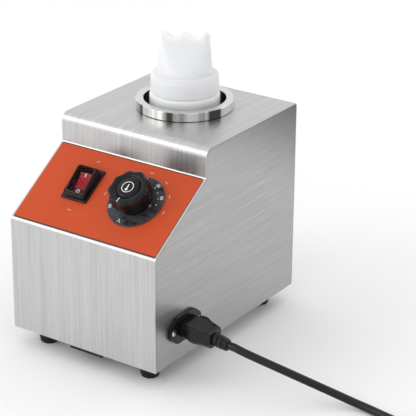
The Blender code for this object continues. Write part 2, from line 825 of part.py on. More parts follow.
def thermostat(panel):
    """A capillary thermostat behind the slope: its can, shaft, two screws, and the bulb on the cup."""
    flat = -SHEET - GAP
    back = -THERMOSTAT_DEPTH
    floor = -SHAFT_DEPTH - GAP
    bore = SHAFT_R + GAP
    body = turned(
        "thermostat_body",
        [
            (0, floor),
            (bore, floor),
            (bore, flat),
            (THERMOSTAT_R, flat),
            (THERMOSTAT_R, flat - 0.002),
            (THERMOSTAT_R - 0.001, flat - 0.003),
            (THERMOSTAT_R - 0.001, back + 0.001),
            (THERMOSTAT_R - 0.002, back),
            (0, back),
        ],
        24,
    )
    place(body, "galvanised_steel", panel, (DIAL_X, DIAL_Y, 0))
    for name, sx in (("left", -1), ("right", 1)):
        x = DIAL_X + sx * THERMOSTAT_SCREW_X
        hole = rod("thread_" + name, THERMOSTAT_SCREW_R + GAP, -0.0085, 0.002, 12)
        boolean(body, as_cutter(hole, panel, (x, DIAL_Y, 0)))
        head_r = THERMOSTAT_SCREW_HEAD_R
        bolt = screw("thermostat_screw_" + name, THERMOSTAT_SCREW_R, head_r, 0.0014, 0.008, 10)
        place(bolt, "galvanised_steel", panel, (x, DIAL_Y, GAP))
    shaft = rod("thermostat_shaft", SHAFT_R, -SHAFT_DEPTH, KNOB_BORE_TOP - GAP, 16)
    place(shaft, "brass", panel, (DIAL_X, DIAL_Y, 0))


def capillary():
    """Bulb against the cup in the band's mouth, and the thin tube from it to the back of the thermostat."""
    bulb_r = 0.0022
    bulb_y = WELL_Y - CUP_OUTER_R - GAP - bulb_r - 0.0002
    middle = (BAND_BOTTOM + BAND_TOP) / 2
    can = Vector((DIAL_X - 0.005, -HALF_DEPTH, BOTTOM + FRONT_HEIGHT))
    along = Vector((0, math.cos(PANEL_TILT), math.sin(PANEL_TILT)))
    out = Vector((0, -math.sin(PANEL_TILT), math.cos(PANEL_TILT)))
    end = can + along * DIAL_Y - out * (THERMOSTAT_DEPTH + GAP)
    bulb_top = Vector((0, bulb_y, middle + 0.027))
    route = [
        bulb_top + Vector((0, -0.0005, 0.004)),
        bulb_top + Vector((0.0015, -0.006, 0.012)),
        bulb_top + Vector((0.008, -0.018, 0.010)),
        bulb_top.lerp(end, 0.62) + Vector((0.002, 0, -0.008)),
        end - out * 0.012,
        end,
    ]
    thin = smooth_route(route, 0.006)
    points = [Vector((0, bulb_y, middle - 0.030)), Vector((0, bulb_y, middle - 0.0285))]
    points += [bulb_top, bulb_top + Vector((0, 0, 0.0015)), *thin]
    thin_share = 0.36
    radii = [0.6, 1.0, 1.0, thin_share] + [thin_share] * len(thin)
    place(tube("thermostat_capillary", points, bulb_r, 2, radii), "copper")


def switch_outline():
    """The flange's outline, whose long and short sides are drawn in a little at their middles."""
    x, y = SWITCH_FLANGE[0] / 2, SWITCH_FLANGE[1] / 2
    corners = rounded([(-x, -y), (x, -y), (x, y), (-x, y)], [0.003] * 4, 3)
    found = []
    for i, point in enumerate(corners):
        found.append(point)
        if i % 4 == 3:
            on = corners[(i + 1) % len(corners)]
            found.append((point + on) / 2 * 0.965)
    return found


def switch_housing(panel):
    body = plate("switch_housing", [switch_outline()], FITTING_BASE, FLANGE_TOP)
    place(body, "black_plastic", panel, (SWITCH_X, SWITCH_Y, 0))
    high = FLANGE_TOP - INLAY
    trunk = block("switch_trunk", (*SWITCH_BODY, high + SWITCH_DEPTH), (0, 0, (high - SWITCH_DEPTH) / 2))
    boolean(body, as_cutter(trunk, panel, (SWITCH_X, SWITCH_Y, 0)), "UNION")
    room = block("rocker_room", (ROCKER_WIDTH + 0.001, ROCKER_LENGTH + 0.002, 2 * ROCKER_WELL))
    boolean(body, as_cutter(room, panel, (SWITCH_X, SWITCH_Y, 0)))


def switch_boot(panel):
    """The splash cover: a frame on the flange with a raised clear cap over the rocker."""
    low = FLANGE_TOP + GAP

    def ring(width, length, radius, z, lean=0.0):
        return [(p.x, p.y, z + lean * p.y) for p in rectangle(width, length, radius)]

    w, h = BOOT_SIZE
    outer = bridged(
        "switch_boot",
        [
            ring(w, h, 0.003, low),
            ring(w, h, 0.003, low + 0.0012),
            ring(w - 0.0018, h - 0.0028, 0.003, low + 0.0022),
            ring(w - 0.0020, h - 0.0034, 0.003, BOOT_TOP - 0.0012, BOOT_LEAN),
            ring(w - 0.0038, h - 0.0054, 0.002, BOOT_TOP, BOOT_LEAN),
        ],
    )
    place(outer, "clear_boot", panel, (SWITCH_X, SWITCH_Y, 0))
    room = bridged(
        "boot_room",
        [
            ring(w - 0.0020 - 2 * BOOT_WALL, h - 0.0034 - 2 * BOOT_WALL, 0.0015, low - 0.001),
            ring(w - 0.0020 - 2 * BOOT_WALL, h - 0.0034 - 2 * BOOT_WALL, 0.0015, BOOT_TOP - 0.0018, BOOT_LEAN),
            ring(w - 0.0044 - 2 * BOOT_WALL, h - 0.0062 - 2 * BOOT_WALL, 0.0010, BOOT_TOP - 0.0010, BOOT_LEAN),
        ],
    )
    boolean(outer, as_cutter(room, panel, (SWITCH_X, SWITCH_Y, 0)))


def rocker(panel):
    """The lit rocker on its pivot, with its lower end pressed in."""
    half = ROCKER_LENGTH / 2
    outline = [(-half, -0.001), (-0.004, -0.0055), (0.004, -0.0055), (half, -0.001), (half, 0.002)]
    outline += [(half * 0.9, 0.0046), (half * 0.45, 0.0038), (0, 0.0035), (-half * 0.45, 0.0038)]
    outline += [(-half * 0.9, 0.0046), (-half, 0.002)]
    obj = plate("rocker", [outline], -ROCKER_WIDTH / 2, ROCKER_WIDTH / 2)
    obj.data.transform(Euler((math.pi / 2, 0, math.pi / 2)).to_matrix().to_4x4())
    place(obj, "red_lens", panel, (SWITCH_X, SWITCH_Y, 0), (ROCKER_TILT, 0, 0))


def knob(panel):
    """Lobed knob with a ring groove round a low dome in its face, and a blind bore for the shaft."""
    count = KNOB_LOBES * 4

    def ring(scale, z, lobe=1.0):
        found = []
        for i in range(count):
            angle = 2 * math.pi * i / count
            radius = (KNOB_R + KNOB_LOBE * lobe * math.cos(KNOB_LOBES * angle)) * scale
            found.append((radius * math.cos(angle), radius * math.sin(angle), z))
        return found

    low = BEZEL_TOP + 0.0008
    obj = bridged(
        "knob",
        [
            ring(0.84, low, 0.0),
            ring(0.86, low + 0.0035, 0.2),
            ring(0.97, low + 0.0050, 0.8),
            ring(1.0, low + 0.010),
            ring(1.0, KNOB_HEIGHT - 0.0025),
            ring(0.93, KNOB_HEIGHT, 0.8),
            ring(0.66, KNOB_HEIGHT, 0.0),
            ring(0.62, KNOB_HEIGHT - 0.0018, 0.0),
            ring(0.52, KNOB_HEIGHT - 0.0018, 0.0),
            ring(0.46, KNOB_HEIGHT - 0.0004, 0.0),
            ring(0.20, KNOB_HEIGHT + 0.0002, 0.0),
        ],
    )
    place(obj, "black_plastic", panel, (DIAL_X, DIAL_Y, 0))
    bore = rod("knob_bore", SHAFT_R + GAP, 0, KNOB_BORE_TOP, 16)
    boolean(obj, as_cutter(bore, panel, (DIAL_X, DIAL_Y, 0)))


# ---------------------------------------------------------------- mains inlet and connector


def lozenge():
    """The inlet flange's outline: full height over the socket, drawn in round the two screws."""
    x, y = INLET_FLANGE[0] / 2, INLET_FLANGE[1] / 2
    flat = INLET_BODY[0] / 2 + 0.0005
    ear = INLET_SCREW_R + 0.0036
    corners = [(-x, -ear), (-flat, -y), (flat, -y), (x, -ear), (x, ear), (flat, y), (-flat, y), (-x, ear)]
    return rounded(corners, [0.003, 0.002, 0.002, 0.003] * 2, 3)


def nose_outline(size, extra=0.0):
    """The connector's six-sided outline, with its two lower corners cut off."""
    x, y = size[0] / 2 + extra, size[1] / 2 + extra
    c = NOSE_CHAMFER
    return [(-x + c, -y), (x - c, -y), (x, -y + c), (x, y), (-x, y), (-x, -y + c)]


def inlet_cutters(inlet):
    width, height = INLET_BODY[0] + 2 * SLIP, INLET_BODY[1] + 2 * SLIP
    body = plate("inlet_cut", [rectangle(width, height)], -0.004, 0.004)
    as_cutter(body, inlet)
    found = [body]
    for i, sx in enumerate((-1, 1)):
        hole = rod(f"inlet_screw_hole_{i}", INLET_SCREW_R + GAP, -0.004, 0.004, 12)
        found.append(as_cutter(hole, inlet, (sx * INLET_SCREW_PITCH / 2, 0, 0)))
    return found


def pin_places():
    return [("live", -PIN_PITCH, PIN_OFFSET), ("earth", 0, -PIN_OFFSET), ("neutral", PIN_PITCH, PIN_OFFSET)]


def inlet_housing(inlet):
    body = plate("inlet_housing", [lozenge()], GAP, INLET_FACE)
    place(body, "black_plastic", inlet)
    high = INLET_FACE - INLAY
    trunk = block("inlet_trunk", (*INLET_BODY, high + INLET_BODY_DEPTH))
    as_cutter(trunk, inlet, (0, 0, (high - INLET_BODY_DEPTH) / 2))
    boolean(body, trunk, "UNION")
    floor = INLET_FACE - NOSE_DEPTH - 0.001
    socket = plate("inlet_socket", [nose_outline(NOSE_SIZE, NOSE_SLIP)], floor, INLET_FACE + 0.001)
    boolean(body, as_cutter(socket, inlet))
    for name, x, y in pin_places():
        slot = block("slot_" + name, (PIN_SIZE[0] + 2 * GAP, PIN_SIZE[1] + 2 * GAP, 0.02))
        boolean(body, as_cutter(slot, inlet, (x, y, -INLET_BODY_DEPTH)))
    for name, sx in (("front", -1), ("rear", 1)):
        x = sx * INLET_SCREW_PITCH / 2
        through = rod("ear_hole_" + name, INLET_SCREW_R + GAP, -0.001, 0.005, 12)
        boolean(body, as_cutter(through, inlet, (x, 0, 0)))
        sink = rod(
            "ear_sink_" + name,
            INLET_SCREW_R + GAP,
            INLET_FACE - 0.0018,
            INLET_FACE + 0.0004,
            16,
            INLET_SCREW_HEAD_R + 0.0009,
        )
        boolean(body, as_cutter(sink, inlet, (x, 0, 0)))
        bolt = turned(
            "inlet_screw_" + name,
            [
                (0, INLET_FACE + 0.0002),
                (INLET_SCREW_HEAD_R * 0.6, INLET_FACE),
                (INLET_SCREW_HEAD_R, INLET_FACE - 0.0004),
                (INLET_SCREW_R, INLET_FACE - 0.0016),
                (INLET_SCREW_R, -0.006),
                (0, -0.0075),
            ],
            12,
        )
        place(bolt, "polished_stainless", inlet, (x, 0, 0))


def inlet_pins(inlet):
    high = INLET_FACE - NOSE_DEPTH + PIN_LENGTH
    low = -INLET_BODY_DEPTH - PIN_TAIL
    for name, x, y in pin_places():
        obj = block("inlet_pin_" + name, (*PIN_SIZE, high - low), (0, 0, (high + low) / 2), 0.0004)
        place(obj, "brass", inlet, (x, y, 0))


def connector(inlet):
    """The moulded socket on the cord's end: nose in the inlet, wider grip, grooved strain relief."""
    deep = INLET_FACE - NOSE_DEPTH + SLIP

    def hexagon(size, corner, z, sink=0.0):
        outline = rounded(nose_outline(size), [corner] * 6, 2)
        return [(p.x, p.y - sink * RELIEF_DROP, z) for p in outline]

    rings = [
        hexagon(NOSE_SIZE, 0.0006, deep),
        hexagon(NOSE_SIZE, 0.0006, GRIP_START - 0.003),
        hexagon((GRIP_SIZE[0] - 0.001, GRIP_SIZE[1] - 0.002), 0.002, GRIP_START, 0.1),
        hexagon(GRIP_SIZE, 0.002, GRIP_START + 0.008, 0.2),
        hexagon((GRIP_SIZE[0] - 0.006, GRIP_SIZE[1] - 0.003), 0.002, GRIP_END - 0.003, 0.5),
        hexagon((GRIP_SIZE[0] - 0.009, GRIP_SIZE[1] - 0.005), 0.002, GRIP_END, 0.57),
    ]
    count = len(rings[0])
    start = math.atan2(rings[0][0][1], rings[0][0][0])
    stations = [(0.05, 1.0), (0.40, 1.0), (0.42, 0.8), (0.52, 0.8), (0.54, 1.0), (0.97, 0.96), (1.0, 0.88)]
    for share, scale in stations:
        z = GRIP_END + (RELIEF_END - GRIP_END) * share
        sink = RELIEF_DROP * (0.6 + 0.4 * share)
        angles = [start + 2 * math.pi * i / count for i in range(count)]
        r = RELIEF_R * scale
        rings.append([(r * math.cos(a), r * math.sin(a) - sink, z) for a in angles])
    body = bridged("cord_connector", rings)
    place(body, "black_plastic", inlet)
    for name, x, y in pin_places():
        room = (PIN_SIZE[0] + 2 * SLIP, PIN_SIZE[1] + 2 * SLIP, PIN_LENGTH + 0.003)
        slot = block("socket_" + name, room, (0, 0, deep - 0.001 + room[2] / 2))
        boolean(body, as_cutter(slot, inlet, (x, y, 0)))


# ---------------------------------------------------------------- bottle


def bottle_body():
    low = BODY_BOTTOM
    neck_low = low - 0.7 * BASE_CAP_HEIGHT
    inner = BOTTLE_R - BOTTLE_WALL
    neck_in = NECK_R - NECK_WALL
    obj = turned(
        "bottle_body",
        [
            (NECK_R, NECK_TOP),
            (NECK_R, BODY_TOP + 0.0002),
            (BOTTLE_R - 0.0015, BODY_TOP),
            (BOTTLE_R - 0.0004, BODY_TOP - 0.0006),
            (BOTTLE_R, BODY_TOP - 0.0020),
            (BOTTLE_R, low + 0.004),
            (BOTTLE_R - 0.0010, low + 0.0011),
            (BOTTLE_R - 0.0030, low),
            (NECK_R, low),
            (NECK_R, neck_low),
            (neck_in, neck_low),
            (neck_in, low + 0.0010),
            (inner, low + 0.0060),
            (inner, BODY_TOP - 0.0040),
            (neck_in, BODY_TOP - 0.0010),
            (neck_in, NECK_TOP),
        ],
        36,
        closed=True,
    )
    return place(obj, "milky_plastic", location=(0, WELL_Y, 0))


def bottle_base_cap():
    top = BOTTLE_BOTTOM + BASE_CAP_HEIGHT
    bore = NECK_R + SLIP
    wall = BOTTLE_R - 0.00075
    floor = BOTTLE_BOTTOM + 0.002
    obj = turned(
        "bottle_base_cap",
        [
            (0, floor),
            (bore - 0.004, floor),
            (bore, floor + 0.004),
            (bore, top),
            (BOTTLE_R, top),
            (BOTTLE_R, top - 0.0015),
            (wall, top - 0.0018),
            (wall, BOTTLE_BOTTOM + 0.010),
            (wall - 0.0018, BOTTLE_BOTTOM + 0.0033),
            (wall - 0.0055, BOTTLE_BOTTOM),
            (0, BOTTLE_BOTTOM),
        ],
        40,
    )
    return place(obj, "milky_plastic", location=(0, WELL_Y, 0))


def cap_gasket():
    obj = turned(
        "cap_gasket",
        [
            (NECK_R - 0.0004, NECK_TOP + GAP + GASKET_THICK),
            (NECK_R - 0.0004, NECK_TOP + GAP),
            (NECK_R - NECK_WALL - 0.0022, NECK_TOP + GAP),
            (NECK_R - NECK_WALL - 0.0022, NECK_TOP + GAP + GASKET_THICK),
        ],
        32,
        closed=True,
    )
    return place(obj, "silicone", location=(0, WELL_Y, 0))


def nozzle_cap():
    """Screw collar and a nozzle that flattens from a round foot to a wedge with three bored tips."""
    count = 32

    def ring(half_length, half_thick, z, squareness=2.0):
        found = []
        for i in range(count):
            angle = 2 * math.pi * i / count
            c, s = math.cos(angle), math.sin(angle)
            x = half_length * math.copysign(abs(c) ** (2 / squareness), c)
            y = half_thick * math.copysign(abs(s) ** (2 / squareness), s)
            found.append((x, y, z))
        return found

    foot, top = COLLAR_TOP, NOZZLE_TOP
    length, thick = NOZZLE_TOP_LENGTH / 2, TIP_THICK / 2
    obj = bridged(
        "nozzle_cap",
        [
            ring(COLLAR_R, COLLAR_R, COLLAR_BOTTOM),
            ring(COLLAR_R, COLLAR_R, foot - 0.0045),
            ring(COLLAR_R - 0.0012, COLLAR_R - 0.0012, foot - 0.0015),
            ring(COLLAR_R - 0.0040, COLLAR_R - 0.0040, foot),
            ring(NOZZLE_R + 0.0004, NOZZLE_R + 0.0004, foot + 0.0004),
            ring(NOZZLE_R, NOZZLE_R * 0.95, foot + 0.004),
            ring(NOZZLE_R - 0.0006, NOZZLE_R * 0.78, foot + 0.010, 2.1),
            ring(NOZZLE_R - 0.0016, NOZZLE_R * 0.42, foot + 0.024, 2.5),
            ring(length + 0.0003, thick * 1.45, foot + 0.034, 3.0),
            ring(length, thick, top, 3.4),
        ],
    )
    place(obj, "milky_plastic", None, (0, WELL_Y, 0), (0, 0, NOZZLE_TURN))
    bore = NECK_R + SLIP
    ceiling = foot - CAP_WALL
    room = bridged(
        "nozzle_room",
        [
            ring(bore, bore, COLLAR_BOTTOM - 0.001),
            ring(bore, bore, ceiling),
            ring(NOZZLE_R - CAP_WALL, NOZZLE_R - CAP_WALL, ceiling + 0.0004),
            ring(NOZZLE_R - CAP_WALL, NOZZLE_R * 0.95 - CAP_WALL, foot + 0.003),
            ring(NOZZLE_R - 0.0006 - CAP_WALL, NOZZLE_R * 0.78 - CAP_WALL, foot + 0.009, 2.1),
            ring(NOZZLE_R - 0.0016 - CAP_WALL, NOZZLE_R * 0.42 - CAP_WALL, foot + 0.023, 2.5),
            ring(length - CAP_WALL, thick * 0.6, foot + 0.0315, 3.0),
        ],
    )
    boolean(obj, as_cutter(room, None, (0, WELL_Y, 0), (0, 0, NOZZLE_TURN)))
    gap_half = TIP_PITCH - TIP_THICK / 2
    notch_r = (gap_half**2 + TIP_NOTCH**2) / (2 * TIP_NOTCH)
    across = Vector((math.cos(NOZZLE_TURN), math.sin(NOZZLE_TURN), 0))
    for i, side in enumerate((-1, 1)):
        notch = rod(f"tip_notch_{i}", notch_r, -0.01, 0.01, 28)
        centre = across * side * TIP_PITCH + Vector((0, WELL_Y, top + notch_r - TIP_NOTCH))
        boolean(obj, as_cutter(notch, None, centre, (math.pi / 2, 0, NOZZLE_TURN)))
    for i, side in enumerate((-2, 0, 2)):
        hole = rod(f"tip_hole_{i}", TIP_BORE_R, -0.0105, 0.001, 12)
        centre = across * side * TIP_PITCH + Vector((0, WELL_Y, top))
        boolean(obj, as_cutter(hole, None, centre))


# ---------------------------------------------------------------- mains cord


def coil_point(radius, angle, z):
    return COIL_CENTRE + Vector((radius * math.cos(angle), radius * math.sin(angle), z))


def cord():
    """The cord from its strain relief, down to the table and along it to the coil, and the coil's tie."""
    start = Vector((HALF_WIDTH + RELIEF_END + GAP, INLET_Y, INLET_Z - RELIEF_DROP))
    inlet_foot = Vector((HALF_WIDTH, INLET_Y, 0))
    steps = vectors(
        (0.064, -0.0002, 0.0442),
        (0.074, 0.0015, 0.0415),
        (0.094, 0.0066, 0.0355),
        (0.114, 0.0139, 0.0280),
        (0.134, 0.0233, 0.0190),
        (0.154, 0.0313, 0.0110),
        (0.169, 0.0354, 0.0063),
        (0.184, 0.0360, 0.0044),
        (0.199, 0.0338, 0.0041),
        (0.219, 0.0302, 0.0041),
        (0.244, 0.0236, 0.0044),
        (0.266, 0.0134, 0.0050),
    )
    route = [start, start + Vector((0.004, 0, 0))] + [inlet_foot + step for step in steps]
    place(tube("cord_run", smooth_route(route, CORD_STEP), CORD_R, 3), "black_rubber")
    ring = turned(
        "cord_coil",
        [
            (COIL_OUTER_R - 0.004, COIL_HEIGHT),
            (COIL_OUTER_R, COIL_HEIGHT - 0.004),
            (COIL_OUTER_R, 0.004),
            (COIL_OUTER_R - 0.004, 0),
            (COIL_INNER_R + 0.004, 0),
            (COIL_INNER_R, 0.004),
            (COIL_INNER_R, COIL_HEIGHT - 0.004),
            (COIL_INNER_R + 0.004, COIL_HEIGHT),
        ],
        40,
        closed=True,
    )
    place(ring, "black_rubber", location=COIL_CENTRE + Vector((0, 0, COIL_LIFT)))
    across = COIL_OUTER_R - COIL_INNER_R + 0.0018
    high = COIL_HEIGHT + 2 * GAP
    inner = rectangle(across, high, 0.0035, (-SLIP, 0))
    outer = rectangle(across + 2 * TIE_THICK, high + 2 * TIE_THICK, 0.0042, (-SLIP, 0))
    tie = plate("coil_tie", [outer, inner], -TIE_WIDTH / 2, TIE_WIDTH / 2)
    middle = coil_point((COIL_OUTER_R + COIL_INNER_R) / 2, TIE_ANGLE, COIL_LIFT + COIL_HEIGHT / 2)
    place(tie, "black_rubber", None, middle, (math.pi / 2, 0, TIE_ANGLE))


def mains_plug():
    """Plug with two flat blades and a round earth pin, lying flat beside the coil and pointing to -X."""
    turn = Euler((math.pi / 2, 0, -math.pi / 2))
    origin = COIL_CENTRE + Vector((-PLUG_START, -PLUG_AXIS_OFFSET, PLUG_Z))
    plug = frame("plug_frame", origin, turn)
    width, height, length = PLUG_BODY

    def ring(w, h, corner, z):
        return [(p.x, p.y, z) for p in rectangle(w, h, corner, steps=4)]

    small = 2 * CORD_R
    end = PLUG_RELIEF + length
    body = bridged(
        "mains_plug",
        [
            ring(small + 0.002, small + 0.002, small / 2, 0),
            ring(small + 0.004, small + 0.004, small / 2, PLUG_RELIEF * 0.8),
            ring(width * 0.62, height * 0.62, 0.005, PLUG_RELIEF),
            ring(width * 0.92, height * 0.92, 0.007, PLUG_RELIEF + length * 0.3),
            ring(width, height, 0.008, PLUG_RELIEF + length * 0.75),
            ring(width, height, 0.008, end),
        ],
    )
    place(body, "black_rubber", plug)
    root = 0.009
    for name, sx in (("live", -1), ("neutral", 1)):
        x, y = sx * BLADE_PITCH / 2, 0.003
        room = (BLADE_SIZE[0] + 2 * GAP, BLADE_SIZE[1] + 2 * GAP, 2 * root + 2 * GAP)
        boolean(body, as_cutter(block("blade_slot_" + name, room), plug, (x, y, end)))
        middle = (0, 0, (BLADE_LENGTH - root) / 2)
        blade = block("plug_blade_" + name, (*BLADE_SIZE, root + BLADE_LENGTH), middle, 0.0003)
        place(blade, "brass", plug, (x, y, end))
    slot = rod("ground_slot", GROUND_R + GAP, -root - GAP, 0.001, 14)
    boolean(body, as_cutter(slot, plug, (0, -0.0065, end)))
    pin = rod("plug_ground_pin", GROUND_R, -root, BLADE_LENGTH + 0.002, 14)
    place(pin, "brass", plug, (0, -0.0065, end))
    tail_z = COIL_LIFT + COIL_HEIGHT - CORD_R
    tail = vectors(
        (COIL_CENTRE.x - 0.0315, COIL_CENTRE.y - PLUG_AXIS_OFFSET, tail_z),
        (COIL_CENTRE.x - 0.039, COIL_CENTRE.y - PLUG_AXIS_OFFSET, (tail_z + PLUG_Z) / 2),
        (COIL_CENTRE.x - PLUG_START + GAP, COIL_CENTRE.y - PLUG_AXIS_OFFSET, PLUG_Z),
    )
    place(tube("cord_tail", tail, CORD_R, 3), "black_rubber")


# ---------------------------------------------------------------- wiring


def panel_point(x, y, z):
    """A point of the panel's frame in the world."""
    base = Vector((x, -HALF_DEPTH, BOTTOM + FRONT_HEIGHT))
    along = Vector((0, math.cos(PANEL_TILT), math.sin(PANEL_TILT)))
    out = Vector((0, -math.sin(PANEL_TILT), math.cos(PANEL_TILT)))
    return base + along * y + out * z


def stud_foot():
    return Vector((HALF_WIDTH - 0.041, INLET_Y + 0.0456, BASE_Z + SHEET + GAP))


def earth_stud():
    post = turned(
        "earth_stud",
        [
            (0, STUD_HEIGHT),
            (0.0018, STUD_HEIGHT),
            (0.0018, 0.006),
            (0.0045, 0.006),
            (0.0045, 0),
            (0, 0),
        ],
        12,
    )
    place(post, "brass", None, stud_foot())


def wires():
    """The wires between the terminals, which leave them straight and bend through points in between."""
    inlet_back = HALF_WIDTH - INLET_BODY_DEPTH - PIN_TAIL - GAP
    terminals = {name: Vector((inlet_back, INLET_Y + x, INLET_Z + y)) for name, x, y in pin_places()}
    switch_back = -SWITCH_DEPTH - GAP
    tap_in = panel_point(SWITCH_X, SWITCH_Y - 0.008, switch_back)
    tap_out = panel_point(SWITCH_X, SWITCH_Y + 0.008, switch_back)
    can_back = -THERMOSTAT_DEPTH - GAP
    can_in = panel_point(DIAL_X - 0.008, DIAL_Y - 0.007, can_back)
    can_out = panel_point(DIAL_X + 0.008, DIAL_Y + 0.007, can_back)
    out = panel_point(0, 0, 1) - panel_point(0, 0, 0)
    slope = panel_point(0, 1, 0) - panel_point(0, 0, 0)
    cutout_front = WELL_Y - CUP_OUTER_R - CUTOUT_THICK - 2 * GAP
    cutout_in = Vector((0.003, cutout_front, CUTOUT_Z))
    cutout_out = Vector((-0.003, cutout_front, CUTOUT_Z))
    band_x = 0.0145
    band_outer = BAND_R + BAND_THICK
    band_y = WELL_Y - math.sqrt(band_outer**2 - (band_x - WIRE_R) ** 2) - GAP
    heater_in = Vector((-band_x, band_y, BAND_TOP - 0.015))
    heater_out = Vector((band_x, band_y, BAND_BOTTOM + 0.015))
    stud = stud_foot() + Vector((0, 0, STUD_HEIGHT + GAP))
    inward, up, front = Vector((-1, 0, 0)), Vector((0, 0, 1)), Vector((0, -1, 0))

    def between(start, end, share, *offset):
        return start.lerp(end, share) + Vector(offset)

    routes = {
        "wire_live": ("wire_red", terminals["live"], inward, tap_in, -out),
        "wire_switched": ("wire_red", tap_out, -out, can_in, -out),
        "wire_cutout": ("wire_red", can_out, -out, cutout_in, front),
        "wire_heater": ("wire_red", cutout_out, front, heater_in, front),
        "wire_neutral": ("wire_blue", terminals["neutral"], inward, heater_out, front),
        "wire_earth": ("wire_green", terminals["earth"], inward, stud, up),
    }
    live, neutral, earth = terminals["live"], terminals["neutral"], terminals["earth"]
    behind_can = can_out - out * 0.013 + slope * 0.005
    bends = {
        "wire_live": [
            between(live, tap_in, 0.55, 0, -0.008, -0.016),
            between(live, tap_in, 0.80, 0, -0.004, -0.010),
        ],
        "wire_switched": [between(tap_out, can_in, 0.45, 0, 0.012, -0.016)],
        "wire_cutout": [behind_can, between(behind_can, cutout_in, 0.55, 0.004, 0, 0)],
        "wire_heater": [between(cutout_out, heater_in, 0.40, -0.004, -0.014, 0)],
        "wire_neutral": [between(neutral, heater_out, 0.60, 0, -0.006, 0.004)],
        "wire_earth": [between(earth, stud, 0.60, -0.002, -0.004, 0.008)],
    }
    for name, (finish, start, away, end, back) in routes.items():
        route = [start, start + away * 0.006, *bends[name], end + back * 0.006, end]
        place(tube(name, smooth_route(route, 0.012), WIRE_R, 2), finish)


# ---------------------------------------------------------------- assembly


def main():
    global model, cutters
    clear_scene()
    model = new_collection("nacho_cheese_dispenser")
    cutters = new_collection("cutters")
    make_materials()
    panel = panel_frame()
    inlet = inlet_frame()

    well_cut = rod("well_cut", CUP_OUTER_R + GAP, TOP - 0.01, TOP + 0.01, 40)
    as_cutter(well_cut, None, (0, WELL_Y, 0))
    switch_cut, shaft_cut, screw_cuts = panel_cutters(panel)
    foot_cuts = {-1: [], 1: []}
    for where, x, y in base_screw_places():
        hole = rod("base_hole_" + where, BASE_SCREW_R + GAP, BOTTOM - 0.002, BOTTOM + 0.003, 10)
        foot_cuts[int(math.copysign(1, x))].append(as_cutter(hole, None, (x, y, 0)))
    wrap_panel(panel, well_cut, switch_cut, shaft_cut, screw_cuts)
    side_panel("side_panel_left", -1, foot_cuts[-1])
    side_panel("side_panel_right", 1, foot_cuts[1] + inlet_cutters(inlet))
    base_plate()
    feet()
    base_screws()
    base_vent()

    well_ring()
    well_cup()
    heater()
    thermal_cutout()

    control_overlay(panel)
    dial_bezel(panel)
    thermostat(panel)
    capillary()
    switch_housing(panel)
    switch_boot(panel)
    rocker(panel)
    knob(panel)

    inlet_housing(inlet)
    inlet_pins(inlet)
    connector(inlet)

    bottle_body()
    bottle_base_cap()
    cap_gasket()
    nozzle_cap()

    cord()
    mains_plug()
    earth_stud()
    wires()


main()
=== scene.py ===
# %% [markdown]
# # A heated sauce dispenser, piece by piece
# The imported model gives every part's place and size. This script dresses it: it models the pieces that
# are seen in finer detail, gives each one a finish made of shader nodes, and leaves the rest of the
# parts as they are. Everything is in metres, with +Z up, the sloping panel to -Y and the mains inlet to
# +X.

# %% Load the parts
import json
import math

import bmesh
import bpy
from mathutils import Matrix, Vector


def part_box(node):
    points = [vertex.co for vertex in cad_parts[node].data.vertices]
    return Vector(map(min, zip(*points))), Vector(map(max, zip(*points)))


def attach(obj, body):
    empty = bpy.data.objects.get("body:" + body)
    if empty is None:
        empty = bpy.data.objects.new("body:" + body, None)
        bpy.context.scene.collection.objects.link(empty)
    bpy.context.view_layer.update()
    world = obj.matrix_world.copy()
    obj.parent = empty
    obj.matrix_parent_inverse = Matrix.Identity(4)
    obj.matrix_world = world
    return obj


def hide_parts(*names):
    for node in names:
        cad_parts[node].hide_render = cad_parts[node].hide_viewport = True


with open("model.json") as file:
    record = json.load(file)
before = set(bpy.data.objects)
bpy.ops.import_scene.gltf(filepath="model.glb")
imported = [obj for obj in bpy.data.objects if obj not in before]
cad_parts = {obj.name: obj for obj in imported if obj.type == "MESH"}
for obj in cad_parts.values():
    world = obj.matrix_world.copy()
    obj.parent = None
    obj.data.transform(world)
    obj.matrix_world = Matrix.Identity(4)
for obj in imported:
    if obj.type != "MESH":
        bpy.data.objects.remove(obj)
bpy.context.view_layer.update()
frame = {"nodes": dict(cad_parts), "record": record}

for body, members in frame["record"]["behaviour"]["bodies"].items():
    print(body, "holds", len(members), "parts")

# %% [markdown]
# ## The camera
# A product picture is taken from a little above with a long lens, so that upright edges stay nearly
# parallel. The camera's place and turns are given: its right, up and backward directions are worked out
# from the way it faces, and they are the columns of its matrix. A long lens far away gives the flat
# perspective.

# %% Camera
CAMERA_PLACE = Vector((0.93885, -1.28628, 0.8068))
CAMERA_TURN = 0.59847
CAMERA_RISE = 0.40465
CAMERA_ROLL = 0.00865
CAMERA_LENS = 151.04
CAMERA_NEAR = 0.05

back = Vector((
    math.sin(CAMERA_TURN) * math.cos(CAMERA_RISE),
    -math.cos(CAMERA_TURN) * math.cos(CAMERA_RISE),
    math.sin(CAMERA_RISE),
))
level = Vector((math.cos(CAMERA_TURN), math.sin(CAMERA_TURN), 0))
above = back.cross(level)
right = level * math.cos(CAMERA_ROLL) + above * math.sin(CAMERA_ROLL)
up = above * math.cos(CAMERA_ROLL) - level * math.sin(CAMERA_ROLL)

camera = bpy.data.objects.new("camera", bpy.data.cameras.new("camera"))
camera.data.lens = CAMERA_LENS
camera.data.clip_start = CAMERA_NEAR
camera.matrix_world = Matrix((right, up, back)).transposed().to_4x4()
camera.matrix_world.translation = CAMERA_PLACE
bpy.context.scene.collection.objects.link(camera)
bpy.context.scene.camera = camera
bpy.context.scene.view_settings.view_transform = "Standard"
print("camera at", [round(c, 3) for c in CAMERA_PLACE])

